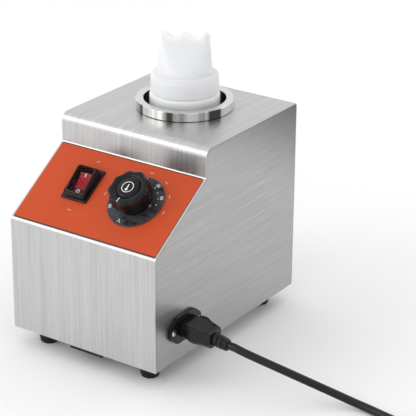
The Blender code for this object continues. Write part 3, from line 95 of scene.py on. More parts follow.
# %% [markdown]
# ## Working by hand, in code
# Blender's operators act on whatever is selected and active, so every step starts by selecting one
# object alone. In edit mode the faces or edges to work on are picked by a test on their place. These
# few helpers stand for the clicks that a person would make.

# %% Select, edit, pick
SHARP = math.radians(32)
WELD = 0.000002
FACES_ALONG = 0.9


def alone(obj):
    bpy.ops.object.select_all(action="DESELECT")
    obj.select_set(True)
    bpy.context.view_layer.objects.active = obj


def newest(name):
    """The object that the last operator added, with its own name."""
    obj = bpy.context.active_object
    obj.name = name
    obj.data.name = name
    return obj


def open_mesh(obj, kind="EDGE"):
    alone(obj)
    bpy.ops.object.mode_set(mode="EDIT")
    bpy.ops.mesh.select_mode(type=kind)
    bpy.ops.mesh.select_all(action="DESELECT")


def close_mesh():
    bpy.ops.object.mode_set(mode="OBJECT")


def pick(obj, kind, test):
    """In edit mode, select the vertices, edges or faces for which the test is true."""
    shape = bmesh.from_edit_mesh(obj.data)
    bpy.ops.mesh.select_all(action="DESELECT")
    for item in getattr(shape, kind):
        if test(item):
            item.select_set(True)
    shape.select_flush_mode()
    bmesh.update_edit_mesh(obj.data)


def pick_all():
    bpy.ops.mesh.select_all(action="SELECT")


def face_outwards():
    pick_all()
    bpy.ops.mesh.normals_make_consistent(inside=False)


def middle(edge):
    return (edge.verts[0].co + edge.verts[1].co) / 2


def set_down(obj, matrix):
    """Move the mesh itself to its place, and leave the object at the origin."""
    obj.matrix_world = matrix
    alone(obj)
    bpy.ops.object.transform_apply(location=True, rotation=True, scale=True)
    return obj


def block(name, size, place, matrix=None, turn=(0, 0, 0)):
    """A box of this size at this place, whose mesh is then carried by the matrix."""
    bpy.ops.mesh.primitive_cube_add(size=1.0, location=place, rotation=turn, scale=size)
    obj = newest(name)
    return set_down(obj, (matrix or Matrix()) @ obj.matrix_world)


def own_copy(obj, name):
    """A copy with a mesh of its own."""
    made = obj.copy()
    made.data = obj.data.copy()
    made.name = made.data.name = name
    bpy.context.scene.collection.objects.link(made)
    return made


def use(obj, kind, **settings):
    """Add a modifier with these settings and apply it."""
    alone(obj)
    made = obj.modifiers.new(kind.lower(), kind)
    for name, value in settings.items():
        setattr(made, name, value)
    bpy.ops.object.modifier_apply(modifier=made.name)
    return obj


def cut(obj, cutter):
    use(obj, "BOOLEAN", object=cutter, operation="DIFFERENCE", solver="EXACT")
    bpy.data.objects.remove(cutter, do_unlink=True)
    return obj


def shade(obj, angle=SHARP):
    alone(obj)
    bpy.ops.object.shade_smooth_by_angle(angle=angle)
    return obj


SOFT_SHADE = math.radians(50)


def soften(obj, width, steps=3, angle=SHARP):
    """Round the sharp edges, and keep the flats flat by weighting the normals with each face's area."""
    use(obj, "BEVEL", width=width, segments=steps, limit_method="ANGLE", angle_limit=angle)
    shade(obj, SOFT_SHADE)
    use(obj, "WEIGHTED_NORMAL", keep_sharp=True)
    return obj


# %% [markdown]
# ## Growing a shape from its outline
# Most of the pieces here are round or nearly so: a ring, a foot, a cap, a knob. A lathe or a mould
# makes them from a section, and in Blender the quickest road is to start with the bottom outline,
# extrude it, scale it and repeat. `grow` does this from a list of stations: width, depth and height,
# and a shift across and along.

# %% Outlines and growth
def round_outline(name, count):
    bpy.ops.mesh.primitive_circle_add(vertices=count, radius=0.5, fill_type="NOTHING")
    return newest(name)


def box_outline(name, width, depth, corner, steps=4):
    bpy.ops.mesh.primitive_plane_add(size=1.0)
    obj = newest(name)
    open_mesh(obj, "VERT")
    pick_all()
    bpy.ops.transform.resize(value=(width, depth, 1), center_override=(0, 0, 0))
    bpy.ops.mesh.bevel(offset=corner, segments=steps, affect="VERTICES")
    pick_all()
    bpy.ops.mesh.delete(type="ONLY_FACE")
    close_mesh()
    return obj


def grow(obj, size, stations, ends="fill"):
    """Extrude the outline through the stations. The ends are filled, joined to each other, or left open."""
    open_mesh(obj, "EDGE")
    pick_all()
    at = [*size, 0.0, 0.0, 0.0]
    for count, station in enumerate(stations):
        to = [*station, 0.0, 0.0][:5]
        move = (to[3] - at[3], to[4] - at[4], to[2] - at[2])
        if count:
            bpy.ops.mesh.extrude_edges_move(TRANSFORM_OT_translate={"value": move})
        else:
            bpy.ops.transform.translate(value=move)
        factor = (to[0] / at[0], to[1] / at[1], 1)
        bpy.ops.transform.resize(value=factor, center_override=(to[3], to[4], to[2]))
        at = to
    if ends == "join":
        bpy.ops.mesh.select_all(action="DESELECT")
        bpy.ops.mesh.select_non_manifold()
        bpy.ops.mesh.bridge_edge_loops()
    if ends == "fill":
        pick_all()
        bpy.ops.mesh.fill_holes(sides=0)
    face_outwards()
    close_mesh()
    return obj


def turned(name, profile, count=96, ends="fill"):
    """A round piece from (radius, height) points that run up its outside and down its inside."""
    stations = [(2 * radius, 2 * radius, height) for radius, height in profile]
    return grow(round_outline(name, count), (1.0, 1.0), stations, ends)


# %% [markdown]
# ## A small language for shader maths
# A finish is a graph of nodes, and long graphs of Math nodes are hard to read when they are wired one
# by one. This class wraps a socket so that `grain * 0.5 + 0.2` adds the two Math nodes by itself.

# %% Socket arithmetic
class Shade:
    def __init__(self, finish, socket):
        self.finish = finish
        self.socket = socket

    def math(self, operation, *values):
        node = self.finish.node("ShaderNodeMath", {"operation": operation}, dict(enumerate(values)))
        return Shade(self.finish, node.outputs[0])

    def __add__(self, other):
        return self.math("ADD", self, other)

    def __radd__(self, other):
        return self.math("ADD", other, self)

    def __sub__(self, other):
        return self.math("SUBTRACT", self, other)

    def __rsub__(self, other):
        return self.math("SUBTRACT", other, self)

    def __mul__(self, other):
        return self.math("MULTIPLY", self, other)

    def __rmul__(self, other):
        return self.math("MULTIPLY", other, self)

    def over(self, level, soft):
        """0 below the level and 1 above it, with a soft step between."""
        settings = {"interpolation_type": "SMOOTHSTEP"}
        values = {"Value": self, "From Min": level - soft, "From Max": level + soft}
        node = self.finish.node("ShaderNodeMapRange", settings, values)
        return Shade(self.finish, node.outputs["Result"])


class Finish:
    """A material with a Principled shader, and the few kinds of node that the finishes here are made of."""

    def __init__(self, name, roughness, metallic=0.0, fixed=()):
        self.material = bpy.data.materials.new(name)
        self.material.use_nodes = True
        self.tree = self.material.node_tree
        self.shader = self.tree.nodes["Principled BSDF"]
        self.shader.inputs["Roughness"].default_value = roughness
        self.shader.inputs["Metallic"].default_value = metallic
        for socket, value in dict(fixed).items():
            self.shader.inputs[socket].default_value = value

    def node(self, kind, settings=(), values=()):
        made = self.tree.nodes.new(kind)
        for name, value in dict(settings).items():
            setattr(made, name, value)
        for name, value in dict(values).items():
            if isinstance(value, Shade):
                self.tree.links.new(value.socket, made.inputs[name])
            else:
                made.inputs[name].default_value = value
        return made

    def place(self, scale=(1, 1, 1)):
        """Object coordinates, stretched along the axes."""
        where = Shade(self, self.node("ShaderNodeTexCoord").outputs["Object"])
        mapping = self.node("ShaderNodeMapping", {}, {"Vector": where, "Scale": scale})
        return Shade(self, mapping.outputs["Vector"])

    def noise(self, scale, detail=3.0, stretch=(1, 1, 1)):
        values = {"Vector": self.place(stretch), "Scale": scale, "Detail": detail}
        return Shade(self, self.node("ShaderNodeTexNoise", {}, values).outputs["Fac"])

    def along(self, direction):
        """How far a point lies along a direction, in metres."""
        values = {0: self.place(), 1: direction}
        node = self.node("ShaderNodeVectorMath", {"operation": "DOT_PRODUCT"}, values)
        return Shade(self, node.outputs["Value"])

    def blend(self, mask, low, high):
        """A colour between two others."""
        factor, first, second, result = 0, 6, 7, 2
        low = low if isinstance(low, Shade) else (*low, 1)
        high = high if isinstance(high, Shade) else (*high, 1)
        values = {factor: mask, first: low, second: high}
        node = self.node("ShaderNodeMix", {"data_type": "RGBA"}, values)
        return Shade(self, node.outputs[result])

    def feed(self, name, value):
        self.tree.links.new(value.socket, self.shader.inputs[name])

    def bump(self, height, depth, strength=0.6):
        values = {"Height": height, "Distance": depth, "Strength": strength}
        self.feed("Normal", Shade(self, self.node("ShaderNodeBump", {}, values).outputs["Normal"]))


# %% [markdown]
# ## Brushed stainless steel
# Sheet steel for kitchens is sanded with a belt, which leaves fine lines along one direction. Noise
# that is stretched thirty to fifty times along the brushing gives the lines, at two widths: hair lines,
# which also make the bump, and wider soft streaks. The folded wrap is brushed along its length, up the
# front and back over the top, so its lines lie across X. The sides are brushed from front to back, and
# their tone is darker than the wrap's, a painted shade. A side also carries a painted reflection: a soft
# mask along a direction darkens its colour towards its upper rear corner, as if a darker part of the
# room were mirrored there.

# %% Steel finishes
HAIRS_A_METRE, STREAKS_A_METRE = 1500, 330
DARK_LINE, LIGHT_LINE = 0.58, 1.30
PAINTED_DIM_REFLECTION = (0.10, 0.10, 0.10)


def brushed_steel(name, stretch, tone, roughness, painted_shade_from=None):
    finish = Finish(name, roughness, 1.0)
    hair = finish.noise(1.0, 4.0, [s * HAIRS_A_METRE for s in stretch])
    streak = finish.noise(1.0, 3.0, [s * STREAKS_A_METRE for s in stretch])
    smudge = finish.noise(14.0, 2.0)
    dark = [c * DARK_LINE for c in tone]
    light = [min(1.0, c * LIGHT_LINE) for c in tone]
    colour = finish.blend(hair * 0.45 + streak * 0.55, dark, light)
    # Painted shade and reflection: the colour is darkened along a direction, towards the side's upper rear
    # corner.
    if painted_shade_from is not None:
        direction, level, soft, deepest = painted_shade_from
        mask = finish.along(direction).over(level, soft) * deepest
        colour = finish.blend(mask, colour, PAINTED_DIM_REFLECTION)
    finish.feed("Base Color", colour)
    finish.feed("Roughness", streak * 0.16 + hair * 0.12 + smudge * 0.06 + (roughness - 0.17))
    finish.bump(hair + streak * 0.5, 0.00002, 0.35)
    return finish.material


PAINTED_DARK_REFLECTION, PAINTED_LIGHT_REFLECTION = (0.09, 0.085, 0.08), (0.82, 0.81, 0.79)
FLATTEN = (1, 1, 0)


def painted_reflection_ring(name, centre):
    """Polished metal whose colour carries a painted reflection: dark and light bands round the ring."""
    finish = Finish(name, 0.12, 1.0)

    def vector(operation, *inputs):
        node = finish.node("ShaderNodeVectorMath", {"operation": operation}, dict(enumerate(inputs)))
        return Shade(finish, node.outputs["Vector"])

    outward = vector("MULTIPLY", vector("SUBTRACT", finish.place(), centre), FLATTEN)
    values = {"Vector": vector("NORMALIZE", outward), "Scale": 3.6, "Detail": 1.5}
    bands = Shade(finish, finish.node("ShaderNodeTexNoise", {}, values).outputs["Fac"])
    # Painted reflection: the base colour runs between dark and light bands round the ring.
    finish.feed("Base Color", finish.blend(bands.over(0.50, 0.08), PAINTED_DARK_REFLECTION, PAINTED_LIGHT_REFLECTION))
    finish.feed("Roughness", finish.noise(600.0) * 0.06 + 0.10)
    return finish.material


def satin_steel(name, tone, roughness):
    finish = Finish(name, roughness, 1.0)
    grain = finish.noise(900.0, 2.0)
    smudge = finish.noise(30.0, 2.0)
    dark = [c * 0.92 for c in tone]
    finish.feed("Base Color", finish.blend(smudge, dark, tone))
    finish.feed("Roughness", grain * 0.05 + smudge * 0.05 + (roughness - 0.05))
    finish.bump(grain, 0.000008, 0.3)
    return finish.material


STEEL = (0.60, 0.60, 0.595)
# The sides' steel is darker than the wrap's: a painted shade.
SHADED_SIDE_TONE = (0.48, 0.48, 0.48)
ACROSS_X = (1.0, 0.02, 0.02)
ACROSS_Z = (0.03, 0.03, 1.0)
# Direction, level, softness and depth of the painted darkening towards a side's upper rear corner.
PAINTED_SHADE_UPPER_REAR = ((0, 0.45, 0.90), 0.212, 0.055, 0.92)
wrap_steel = brushed_steel("wrap_steel", ACROSS_X, STEEL, 0.36)
side_steel = brushed_steel("side_steel", ACROSS_Z, SHADED_SIDE_TONE, 0.36, PAINTED_SHADE_UPPER_REAR)
cup_low, cup_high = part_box("well_cup")
WELL = Vector(((cup_low.x + cup_high.x) / 2, (cup_low.y + cup_high.y) / 2, 0))
AT_WELL = Matrix.Translation(WELL)
ring_steel = painted_reflection_ring("ring_steel", WELL)
ring_face = satin_steel("ring_face", (0.72, 0.72, 0.71), 0.30)
screw_steel = satin_steel("screw_steel", (0.78, 0.78, 0.78), 0.18)


# %% [markdown]
# ## Zinc, brass and copper
# The base plate and the hidden screws are zinc plated, which grows large flat crystals: a Voronoi cell
# pattern with a slightly different grey in each cell. The contacts are brass and the sensor tube
# copper, both a little stained, so their colour and roughness drift with a slow noise.

# %% Plated and plain metals
def galvanised(name):
    finish = Finish(name, 0.42, 1.0)
    values = {"Vector": finish.place(), "Scale": 160.0}
    cells = finish.node("ShaderNodeTexVoronoi", {"feature": "F1"}, values)
    tint = finish.node("ShaderNodeSeparateColor", {}, {0: Shade(finish, cells.outputs["Color"])})
    flake = Shade(finish, tint.outputs[0])
    finish.feed("Base Color", finish.blend(flake, (0.46, 0.48, 0.50), (0.62, 0.64, 0.66)))
    finish.feed("Roughness", flake * 0.18 + 0.32)
    return finish.material


def stained_metal(name, clean, stained, roughness):
    finish = Finish(name, roughness, 1.0)
    stain = finish.noise(220.0, 4.0)
    finish.feed("Base Color", finish.blend(stain, clean, stained))
    finish.feed("Roughness", stain * 0.25 + (roughness - 0.08))
    return finish.material


zinc = galvanised("zinc")
brass = stained_metal("brass", (0.78, 0.58, 0.26), (0.55, 0.38, 0.15), 0.28)
copper = stained_metal("copper", (0.80, 0.42, 0.26), (0.45, 0.21, 0.12), 0.30)

# %% [markdown]
# ## Plastics and rubber
# Moulded plastic is never one flat black. A spark-eroded mould leaves a fine grain, handling polishes
# it in places, and rubber picks up grey dust. One function makes them all from a colour, a gloss and a
# grain.

# %% Moulded finishes
def moulded(name, colour, roughness, grain_size=1800.0, grain_depth=0.00003, dust=0.06, fixed=()):
    finish = Finish(name, roughness, 0.0, fixed)
    grain = finish.noise(grain_size, 2.0)
    patch = finish.noise(45.0, 3.0)
    light = [min(1.0, c + dust * (0.35 + 0.65 * c)) for c in colour]
    finish.feed("Base Color", finish.blend(patch.over(0.55, 0.25) * 0.6 + grain * 0.25, colour, light))
    finish.feed("Roughness", patch * 0.14 + grain * 0.08 + (roughness - 0.10))
    finish.bump(grain, grain_depth, 0.5)
    return finish.material


DULL = {"Specular IOR Level": 0.24}
GLOSS = {"Specular IOR Level": 0.34}
knob_black = moulded("knob_black", (0.004, 0.004, 0.005), 0.16, 600.0, 0.000003, 0.006, DULL)
bezel_grey = moulded("bezel_grey", (0.052, 0.051, 0.056), 0.44, 2600.0, 0.00002, 0.02)
body_black = moulded("body_black", (0.004, 0.004, 0.005), 0.25, 1500.0, 0.00001, 0.010, GLOSS)
cord_black = moulded("cord_black", (0.005, 0.005, 0.006), 0.27, 500.0, 0.00001, 0.010, GLOSS)
rubber_black = moulded("rubber_black", (0.009, 0.009, 0.009), 0.55, 900.0, 0.00003, 0.02, DULL)
wire_red = moulded("wire_red", (0.42, 0.02, 0.02), 0.45, dust=0.05)
wire_blue = moulded("wire_blue", (0.02, 0.09, 0.42), 0.45, dust=0.05)
wire_green = moulded("wire_green", (0.22, 0.40, 0.05), 0.45, dust=0.05)
print_white = moulded("print_white", (0.80, 0.80, 0.79), 0.50, 2500.0, 0.00001, 0.05)
print_grey = moulded("print_grey", (0.42, 0.42, 0.42), 0.50, 2500.0, 0.00001, 0.05)
silicone = moulded("silicone", (0.68, 0.27, 0.11), 0.55, 300.0, 0.00008, 0.08)
# The milky plastic also gets a faint white glow in its emission: painted light that brightens it.
MILK_AND_GLOW = {
    "Emission Color": (1, 1, 1, 1),
    "Emission Strength": 0.02,
    "Subsurface Weight": 0.55,
    "Subsurface Scale": 0.012,
    "Subsurface Radius": (1.0, 0.96, 0.92),
}
milky = moulded("milky", (0.86, 0.865, 0.87), 0.34, 350.0, 0.00002, 0.03, MILK_AND_GLOW)

# %% [markdown]
# ## Film, lens, boot and wool
# The panel carries a printed polyester film: orange, with a fine emboss and a dark line where its edge
# meets the steel. The switch's lens is red plastic with light behind it. The boot over it is a thin
# skin, smoky at its rim and almost clear over the lens, which alpha gives without slow refraction.
# Glass wool is a matt mass of fibres: noise that is stretched both ways.

# %% Film, lens, boot and wool
SLOPE_RISE, SLOPE_RUN = 0.0538, 0.0815
PANEL_TILT = math.atan2(SLOPE_RISE, SLOPE_RUN)
UP_SLOPE = (0.0, math.cos(PANEL_TILT), math.sin(PANEL_TILT))
film_low, film_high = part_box("control_overlay")
low_edge = Vector(UP_SLOPE).dot(Vector((0, film_low.y, film_low.z)))
high_edge = Vector(UP_SLOPE).dot(Vector((0, film_high.y, film_high.z)))
EDGE_LINE, EDGE_SOFT = 0.0011, 0.0002
DEEP_ORANGE, PALE_ORANGE = (0.520, 0.066, 0.018), (0.590, 0.084, 0.026)
EDGE_DARK = (0.05, 0.035, 0.03)


def printed_film():
    finish = Finish("printed_film", 0.42, 0.0, {"Specular IOR Level": 0.15})
    emboss = finish.noise(2400.0, 2.0)
    patch = finish.noise(22.0, 2.0)
    rise = finish.along(UP_SLOPE)
    past_low_line = rise.over(low_edge + EDGE_LINE, EDGE_SOFT)
    past_high_line = rise.over(high_edge - EDGE_LINE, EDGE_SOFT)
    inside = past_low_line * (1.0 - past_high_line)
    orange = finish.blend(patch * 0.6 + emboss * 0.4, DEEP_ORANGE, PALE_ORANGE)
    finish.feed("Base Color", finish.blend(1.0 - inside, orange, EDGE_DARK))
    finish.feed("Roughness", emboss * 0.12 + patch * 0.08 + 0.32)
    finish.bump(emboss, 0.00002, 0.4)
    return finish.material


def lit_lens():
    finish = Finish("lit_lens", 0.16, 0.0, {"Emission Strength": 0.05, **DULL})
    patch = finish.noise(160.0, 2.0)
    red = finish.blend(patch, (0.30, 0.004, 0.010), (0.46, 0.010, 0.018))
    finish.feed("Base Color", red)
    finish.feed("Emission Color", red)
    finish.feed("Roughness", patch * 0.08 + 0.10)
    return finish.material


def thin_skin(name, alpha):
    finish = Finish(name, 0.10, 0.0, {"Specular IOR Level": 0.30})
    haze = finish.noise(300.0, 2.0)
    finish.feed("Base Color", finish.blend(haze, (0.030, 0.004, 0.004), (0.060, 0.010, 0.010)))
    finish.feed("Alpha", haze * 0.06 + (alpha - 0.03))
    finish.feed("Roughness", haze * 0.10 + 0.08)
    return finish.material


def glass_wool():
    finish = Finish("glass_wool", 0.95)
    across = finish.noise(1.0, 5.0, (900, 900, 90))
    upright = finish.noise(1.0, 5.0, (90, 90, 900))
    fibre = across * 0.5 + upright * 0.5
    finish.feed("Base Color", finish.blend(fibre.over(0.5, 0.12), (0.62, 0.55, 0.36), (0.88, 0.84, 0.66)))
    finish.bump(fibre, 0.0006, 0.9)
    return finish.material


orange_film, red_lens, wool = printed_film(), lit_lens(), glass_wool()
boot_rim, boot_window = thin_skin("boot_rim", 0.84), thin_skin("boot_window", 0.08)
print("finishes made:", len(bpy.data.materials))


# %% [markdown]
# ## Putting a piece in the model
# Every new piece takes a finish, rides on one of the bodies, and may hide the plain part that it replaces.

# %% Fit a piece
def fit(obj, finish, body, slot, *nodes):
    if finish is not None:
        obj.data.materials.clear()
        obj.data.materials.append(finish)
    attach(obj, body)
    if nodes:
        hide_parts(*nodes)
    faces = len(obj.data.polygons) if obj.type == "MESH" else 0
    print(obj.name, "rides on", body, "with", faces, "faces")
    return obj


def paint(obj, finish, test):
    """Give the faces for which the test is true a second finish."""
    obj.data.materials.append(finish)
    for face in obj.data.polygons:
        if test(face):
            face.material_index = 1


# %% [markdown]
# ## The mains cord
# A mains cord is 7.8 mm thick and stiff, so it leaves its strain relief straight, drops in a slow curve
# and then lies on the table. Its route is a list of given points, and a smooth curve through them. The
# spare length is wound in a flat coil of two layers: it spirals in on the table, climbs at the inside,
# and spirals out again on top, a cord's width further each turn. The plug lies beside the coil.

# %% The cord's route
CORD_WIDE = 0.0078
CORD_EXIT = (0.1388, -0.0756, 0.0452)
ROUTE = [
    CORD_EXIT,
    (0.1428, -0.0756, 0.0452),
    (0.1500, -0.0758, 0.0442),
    (0.1600, -0.0741, 0.0415),
    (0.1800, -0.0690, 0.0355),
    (0.2000, -0.0617, 0.0280),
    (0.2200, -0.0523, 0.0190),
    (0.2400, -0.0443, 0.0110),
    (0.2550, -0.0402, 0.0063),
    (0.2700, -0.0396, 0.0044),
    (0.2850, -0.0418, 0.0041),
    (0.3050, -0.0454, 0.0041),
    (0.3300, -0.0520, 0.0044),
    (0.3520, -0.0622, 0.0050),
]
TAIL = [(0.3185, -0.1720, 0.0131), (0.3110, -0.1720, 0.0128), (0.3033, -0.1720, 0.0125)]
COIL_MIDDLE = Vector((0.350, -0.122, 0.0))
COIL_START = math.radians(55)
LOW_TURNS, CLIMB_TURNS, TOP_TURNS = 2.0, 0.3, 2.1028
OUTER_TURN, INNER_TURN, LEAVING_TURN = 0.0508, 0.0345, 0.0500
LOW_LAYER, TOP_LAYER = 0.0051, 0.0130
POINTS_A_TURN = 16


def coil_point(turns):
    """A point of the coil, so many turns after its start."""
    if turns <= LOW_TURNS:
        radius = OUTER_TURN + (INNER_TURN - OUTER_TURN) * turns / LOW_TURNS
        height = LOW_LAYER
    elif turns <= LOW_TURNS + CLIMB_TURNS:
        share = (turns - LOW_TURNS) / CLIMB_TURNS
        radius = INNER_TURN
        height = LOW_LAYER + (TOP_LAYER - LOW_LAYER) * share * share * (3 - 2 * share)
    else:
        share = (turns - LOW_TURNS - CLIMB_TURNS) / TOP_TURNS
        radius = INNER_TURN + (LEAVING_TURN - INNER_TURN) * share
        height = TOP_LAYER
    angle = COIL_START - 2 * math.pi * turns
    return COIL_MIDDLE + Vector((radius * math.cos(angle), radius * math.sin(angle), height))


all_turns = LOW_TURNS + CLIMB_TURNS + TOP_TURNS
steps = round(all_turns * POINTS_A_TURN)
coil = [coil_point(all_turns * i / steps) for i in range(steps + 1)]
cord_points = [Vector(p) for p in ROUTE] + coil + [Vector(p) for p in TAIL]
print("the cord has", len(cord_points), "points, and its coil", round(all_turns, 2), "turns")

# %% [markdown]
# ## The cord itself
# A curve with a round bevel is the natural tube. Bezier points with automatic handles pass through
# every point of the route without corners, and the bevel's resolution decides how round the cord looks.

# %% The cord
data = bpy.data.curves.new("mains_cord", "CURVE")
data.dimensions = "3D"
data.bevel_depth = CORD_WIDE / 2
data.bevel_resolution = 5
data.resolution_u = 5
data.use_fill_caps = True
spline = data.splines.new("BEZIER")
spline.bezier_points.add(len(cord_points) - 1)
for point, place in zip(spline.bezier_points, cord_points):
    point.co = place
    point.handle_left_type = "AUTO"
    point.handle_right_type = "AUTO"
mains_cord = bpy.data.objects.new("mains_cord", data)
bpy.context.scene.collection.objects.link(mains_cord)
fit(mains_cord, cord_black, "lead", "black_rubber", "cord_run", "cord_coil", "cord_tail")

# %% [markdown]
# ## The coil's tie
# A soft strap holds the turns together. It is a rounded box outline, grown by its width and then
# hollowed by giving it a wall, so that it wraps all the turns on one side of the coil.

# %% Coil tie
TIE_WIDTH = 0.012
TIE_WALL = 0.0008
TIE_ANGLE = math.radians(150)
COIL_HIGH = 0.0158
COIL_LIFT = 0.0012
COIL_OUT, COIL_IN = 0.0552, 0.0305
COIL_BAND = (COIL_OUT + COIL_IN) / 2
TIE_SPAN = COIL_OUT - COIL_IN + 0.0018
TIE_HIGH = COIL_HIGH + 0.0006
TIE_CORNER = 0.0035

strap = box_outline("coil_strap", TIE_SPAN, TIE_HIGH, TIE_CORNER, 6)
grow(strap, (1, 1), [(1, 1, -TIE_WIDTH / 2), (1, 1, TIE_WIDTH / 2)], ends="open")
use(strap, "SOLIDIFY", thickness=TIE_WALL, offset=1.0, use_even_offset=True)
soften(strap, 0.0002, 2)
strap_place = COIL_MIDDLE + Vector((COIL_BAND * math.cos(TIE_ANGLE), COIL_BAND * math.sin(TIE_ANGLE), 0))
strap_place.z = COIL_LIFT + COIL_HIGH / 2
turn = Matrix.Rotation(TIE_ANGLE, 4, "Z") @ Matrix.Rotation(math.pi / 2, 4, "X")
set_down(strap, Matrix.Translation(strap_place) @ turn)
fit(strap, rubber_black, "lead", "black_rubber", "coil_tie")

# %% [markdown]
# ## The mains plug
# The plug is one moulding round two flat blades and a round earth pin: a tapered strain relief with
# grooves that let it bend, then a body that swells to the front. Its outline is a rounded box that
# grows along the cord, and the front is sunk a little inside its rim.

# %% Mains plug
PLUG_WIDE, PLUG_HIGH, PLUG_LONG = 0.026, 0.0235, 0.030
RELIEF_LONG = 0.026
RELIEF_RIBS = 5
RELIEF_THIN = CORD_WIDE + 0.0020
RIB_FIRST, RIB_SWELL, RIB_GROOVE = 0.0008, 0.0022, 0.0014
PLUG_CORNER = 0.0045
PLUG_SWELL = ((0.0, 0.60), (0.10, 0.76), (0.30, 0.92), (0.60, 0.985), (0.75, 1.0), (1.0, 1.0))
PLUG_RIM, PLUG_SUNK = 0.0022, 0.0003
PLUG_PLACE = Vector((0.303, -0.172, 0.0125))

plug = box_outline("plug_body", RELIEF_THIN, RELIEF_THIN, PLUG_CORNER, 6)
stations = [(CORD_WIDE + 0.0015, CORD_WIDE + 0.0015, 0.0)]
rib_long = RELIEF_LONG * 0.8 / RELIEF_RIBS
for rib in range(RELIEF_RIBS):
    thick = RELIEF_THIN + RIB_SWELL * (rib + 1) / RELIEF_RIBS
    thin = thick - RIB_GROOVE
    start = RIB_FIRST + rib * rib_long
    for wide, share in ((thick, 0.0), (thick, 0.62), (thin, 0.70), (thin, 0.92)):
        stations.append((wide, wide, start + rib_long * share))
for share, wide in PLUG_SWELL:
    stations.append((PLUG_WIDE * wide, PLUG_HIGH * wide, RELIEF_LONG + PLUG_LONG * share))
grow(plug, (RELIEF_THIN, RELIEF_THIN), stations)
open_mesh(plug, "FACE")
pick(plug, "faces", lambda f: f.calc_center_median().z > RELIEF_LONG + PLUG_LONG - 0.0001)
bpy.ops.mesh.inset(thickness=PLUG_RIM)
bpy.ops.transform.translate(value=(0, 0, -PLUG_SUNK))
close_mesh()
soften(plug, 0.0005, 3)
plug_turn = Matrix.Rotation(-math.pi / 2, 4, "Z") @ Matrix.Rotation(math.pi / 2, 4, "X")
set_down(plug, Matrix.Translation(PLUG_PLACE) @ plug_turn)
fit(plug, body_black, "lead", "black_rubber", "mains_plug")

# %% [markdown]
# ## Plug blades
# The blades are pressed from brass strip and have a rounded nose: each is a box whose far edges are
# bevelled. The earth pin is turned, with a nose that follows a quarter of an ellipse.

# %% Plug blades and earth pin
NOSE_SHARE = 0.45
PIN_NOSE = 0.9
NOSE_ANGLES = (0.5, 0.9, 1.25, 1.45)


def blade(name, node):
    low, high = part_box(node)
    size, centre = high - low, (high + low) / 2
    obj = block(name, size, centre)

    def at_nose(edge):
        lies_flat = abs(edge.verts[0].co.z - edge.verts[1].co.z) < WELD
        return lies_flat and abs(middle(edge).x - low.x) < WELD

    open_mesh(obj, "EDGE")
    pick(obj, "edges", at_nose)
    bpy.ops.mesh.bevel(offset=min(size.y, size.z) * NOSE_SHARE, segments=3, affect="EDGES")
    close_mesh()
    soften(obj, 0.00012, 2)
    return fit(obj, brass, "lead", "brass", node)


blades = [blade("live_blade", "plug_blade_live"), blade("neutral_blade", "plug_blade_neutral")]
low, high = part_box("plug_ground_pin")
pin_r = (high.z - low.z) / 2
pin_long = high.x - low.x
pin_nose = pin_r * PIN_NOSE
profile = [(pin_r, 0), (pin_r, pin_long - pin_nose)]
profile += [(pin_r * math.cos(a), pin_long - pin_nose * (1 - math.sin(a))) for a in NOSE_ANGLES]
ground = turned("ground_pin", profile, 32)
shade(ground)
pin_root = Matrix.Translation((high.x, (low.y + high.y) / 2, (low.z + high.z) / 2))
set_down(ground, pin_root @ Matrix.Rotation(-math.pi / 2, 4, "Y"))
fit(ground, brass, "lead", "brass", "plug_ground_pin")

# %% [markdown]
# ## The connector
# The other end of the cord is a moulded socket. A narrow six-sided nose goes into the inlet, a thicker
# grip follows with a sunk panel on top for the thumb, and then a short relief with deep grooves that
# droops with the weight of the cord. The outline is a box whose lower corners are cut off, grown out of
# the side panel.

# %% Connector
SIDE_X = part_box("side_panel_right")[1].x
inlet_low, inlet_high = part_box("inlet_housing")
INLET_Y = (inlet_low.y + inlet_high.y) / 2
INLET_Z = (inlet_low.z + inlet_high.z) / 2
FROM_SIDE = Matrix.Translation((SIDE_X, INLET_Y, INLET_Z)) @ Matrix(
    ((0, 0, 1, 0), (1, 0, 0, 0), (0, 1, 0, 0), (0, 0, 0, 1))
)
NOSE_WIDE, NOSE_HIGH, NOSE_CUT, NOSE_CORNER = 0.0236, 0.0158, 0.004, 0.0012
NOSE_DEEP = 0.011
GRIP_WIDE, GRIP_HIGH = 0.0275, 0.0205
THUMB_RIM, THUMB_SUNK = 0.0026, 0.0009
GRIP_START, GRIP_END, RELIEF_END = 0.012, 0.037, 0.0525
DROOP = 0.0062
RELIEF_WIDE = 0.0132


def nose_outline(name):
    """A plane with small rounded corners, whose two lower corners are first cut off at 45 degrees."""
    bpy.ops.mesh.primitive_plane_add(size=1.0)
    obj = newest(name)
    open_mesh(obj, "VERT")
    pick_all()
    bpy.ops.transform.resize(value=(NOSE_WIDE, NOSE_HIGH, 1), center_override=(0, 0, 0))
    pick(obj, "verts", lambda v: v.co.y < 0)
    bpy.ops.mesh.bevel(offset=NOSE_CUT * 0.99, segments=1, affect="VERTICES")
    pick_all()
    bpy.ops.mesh.bevel(offset=NOSE_CORNER, segments=3, affect="VERTICES")
    pick_all()
    bpy.ops.mesh.delete(type="ONLY_FACE")
    close_mesh()
    return obj


def under_thumb(face):
    along = face.calc_center_median().z
    return face.normal.y > FACES_ALONG and GRIP_START < along < GRIP_END - 0.004


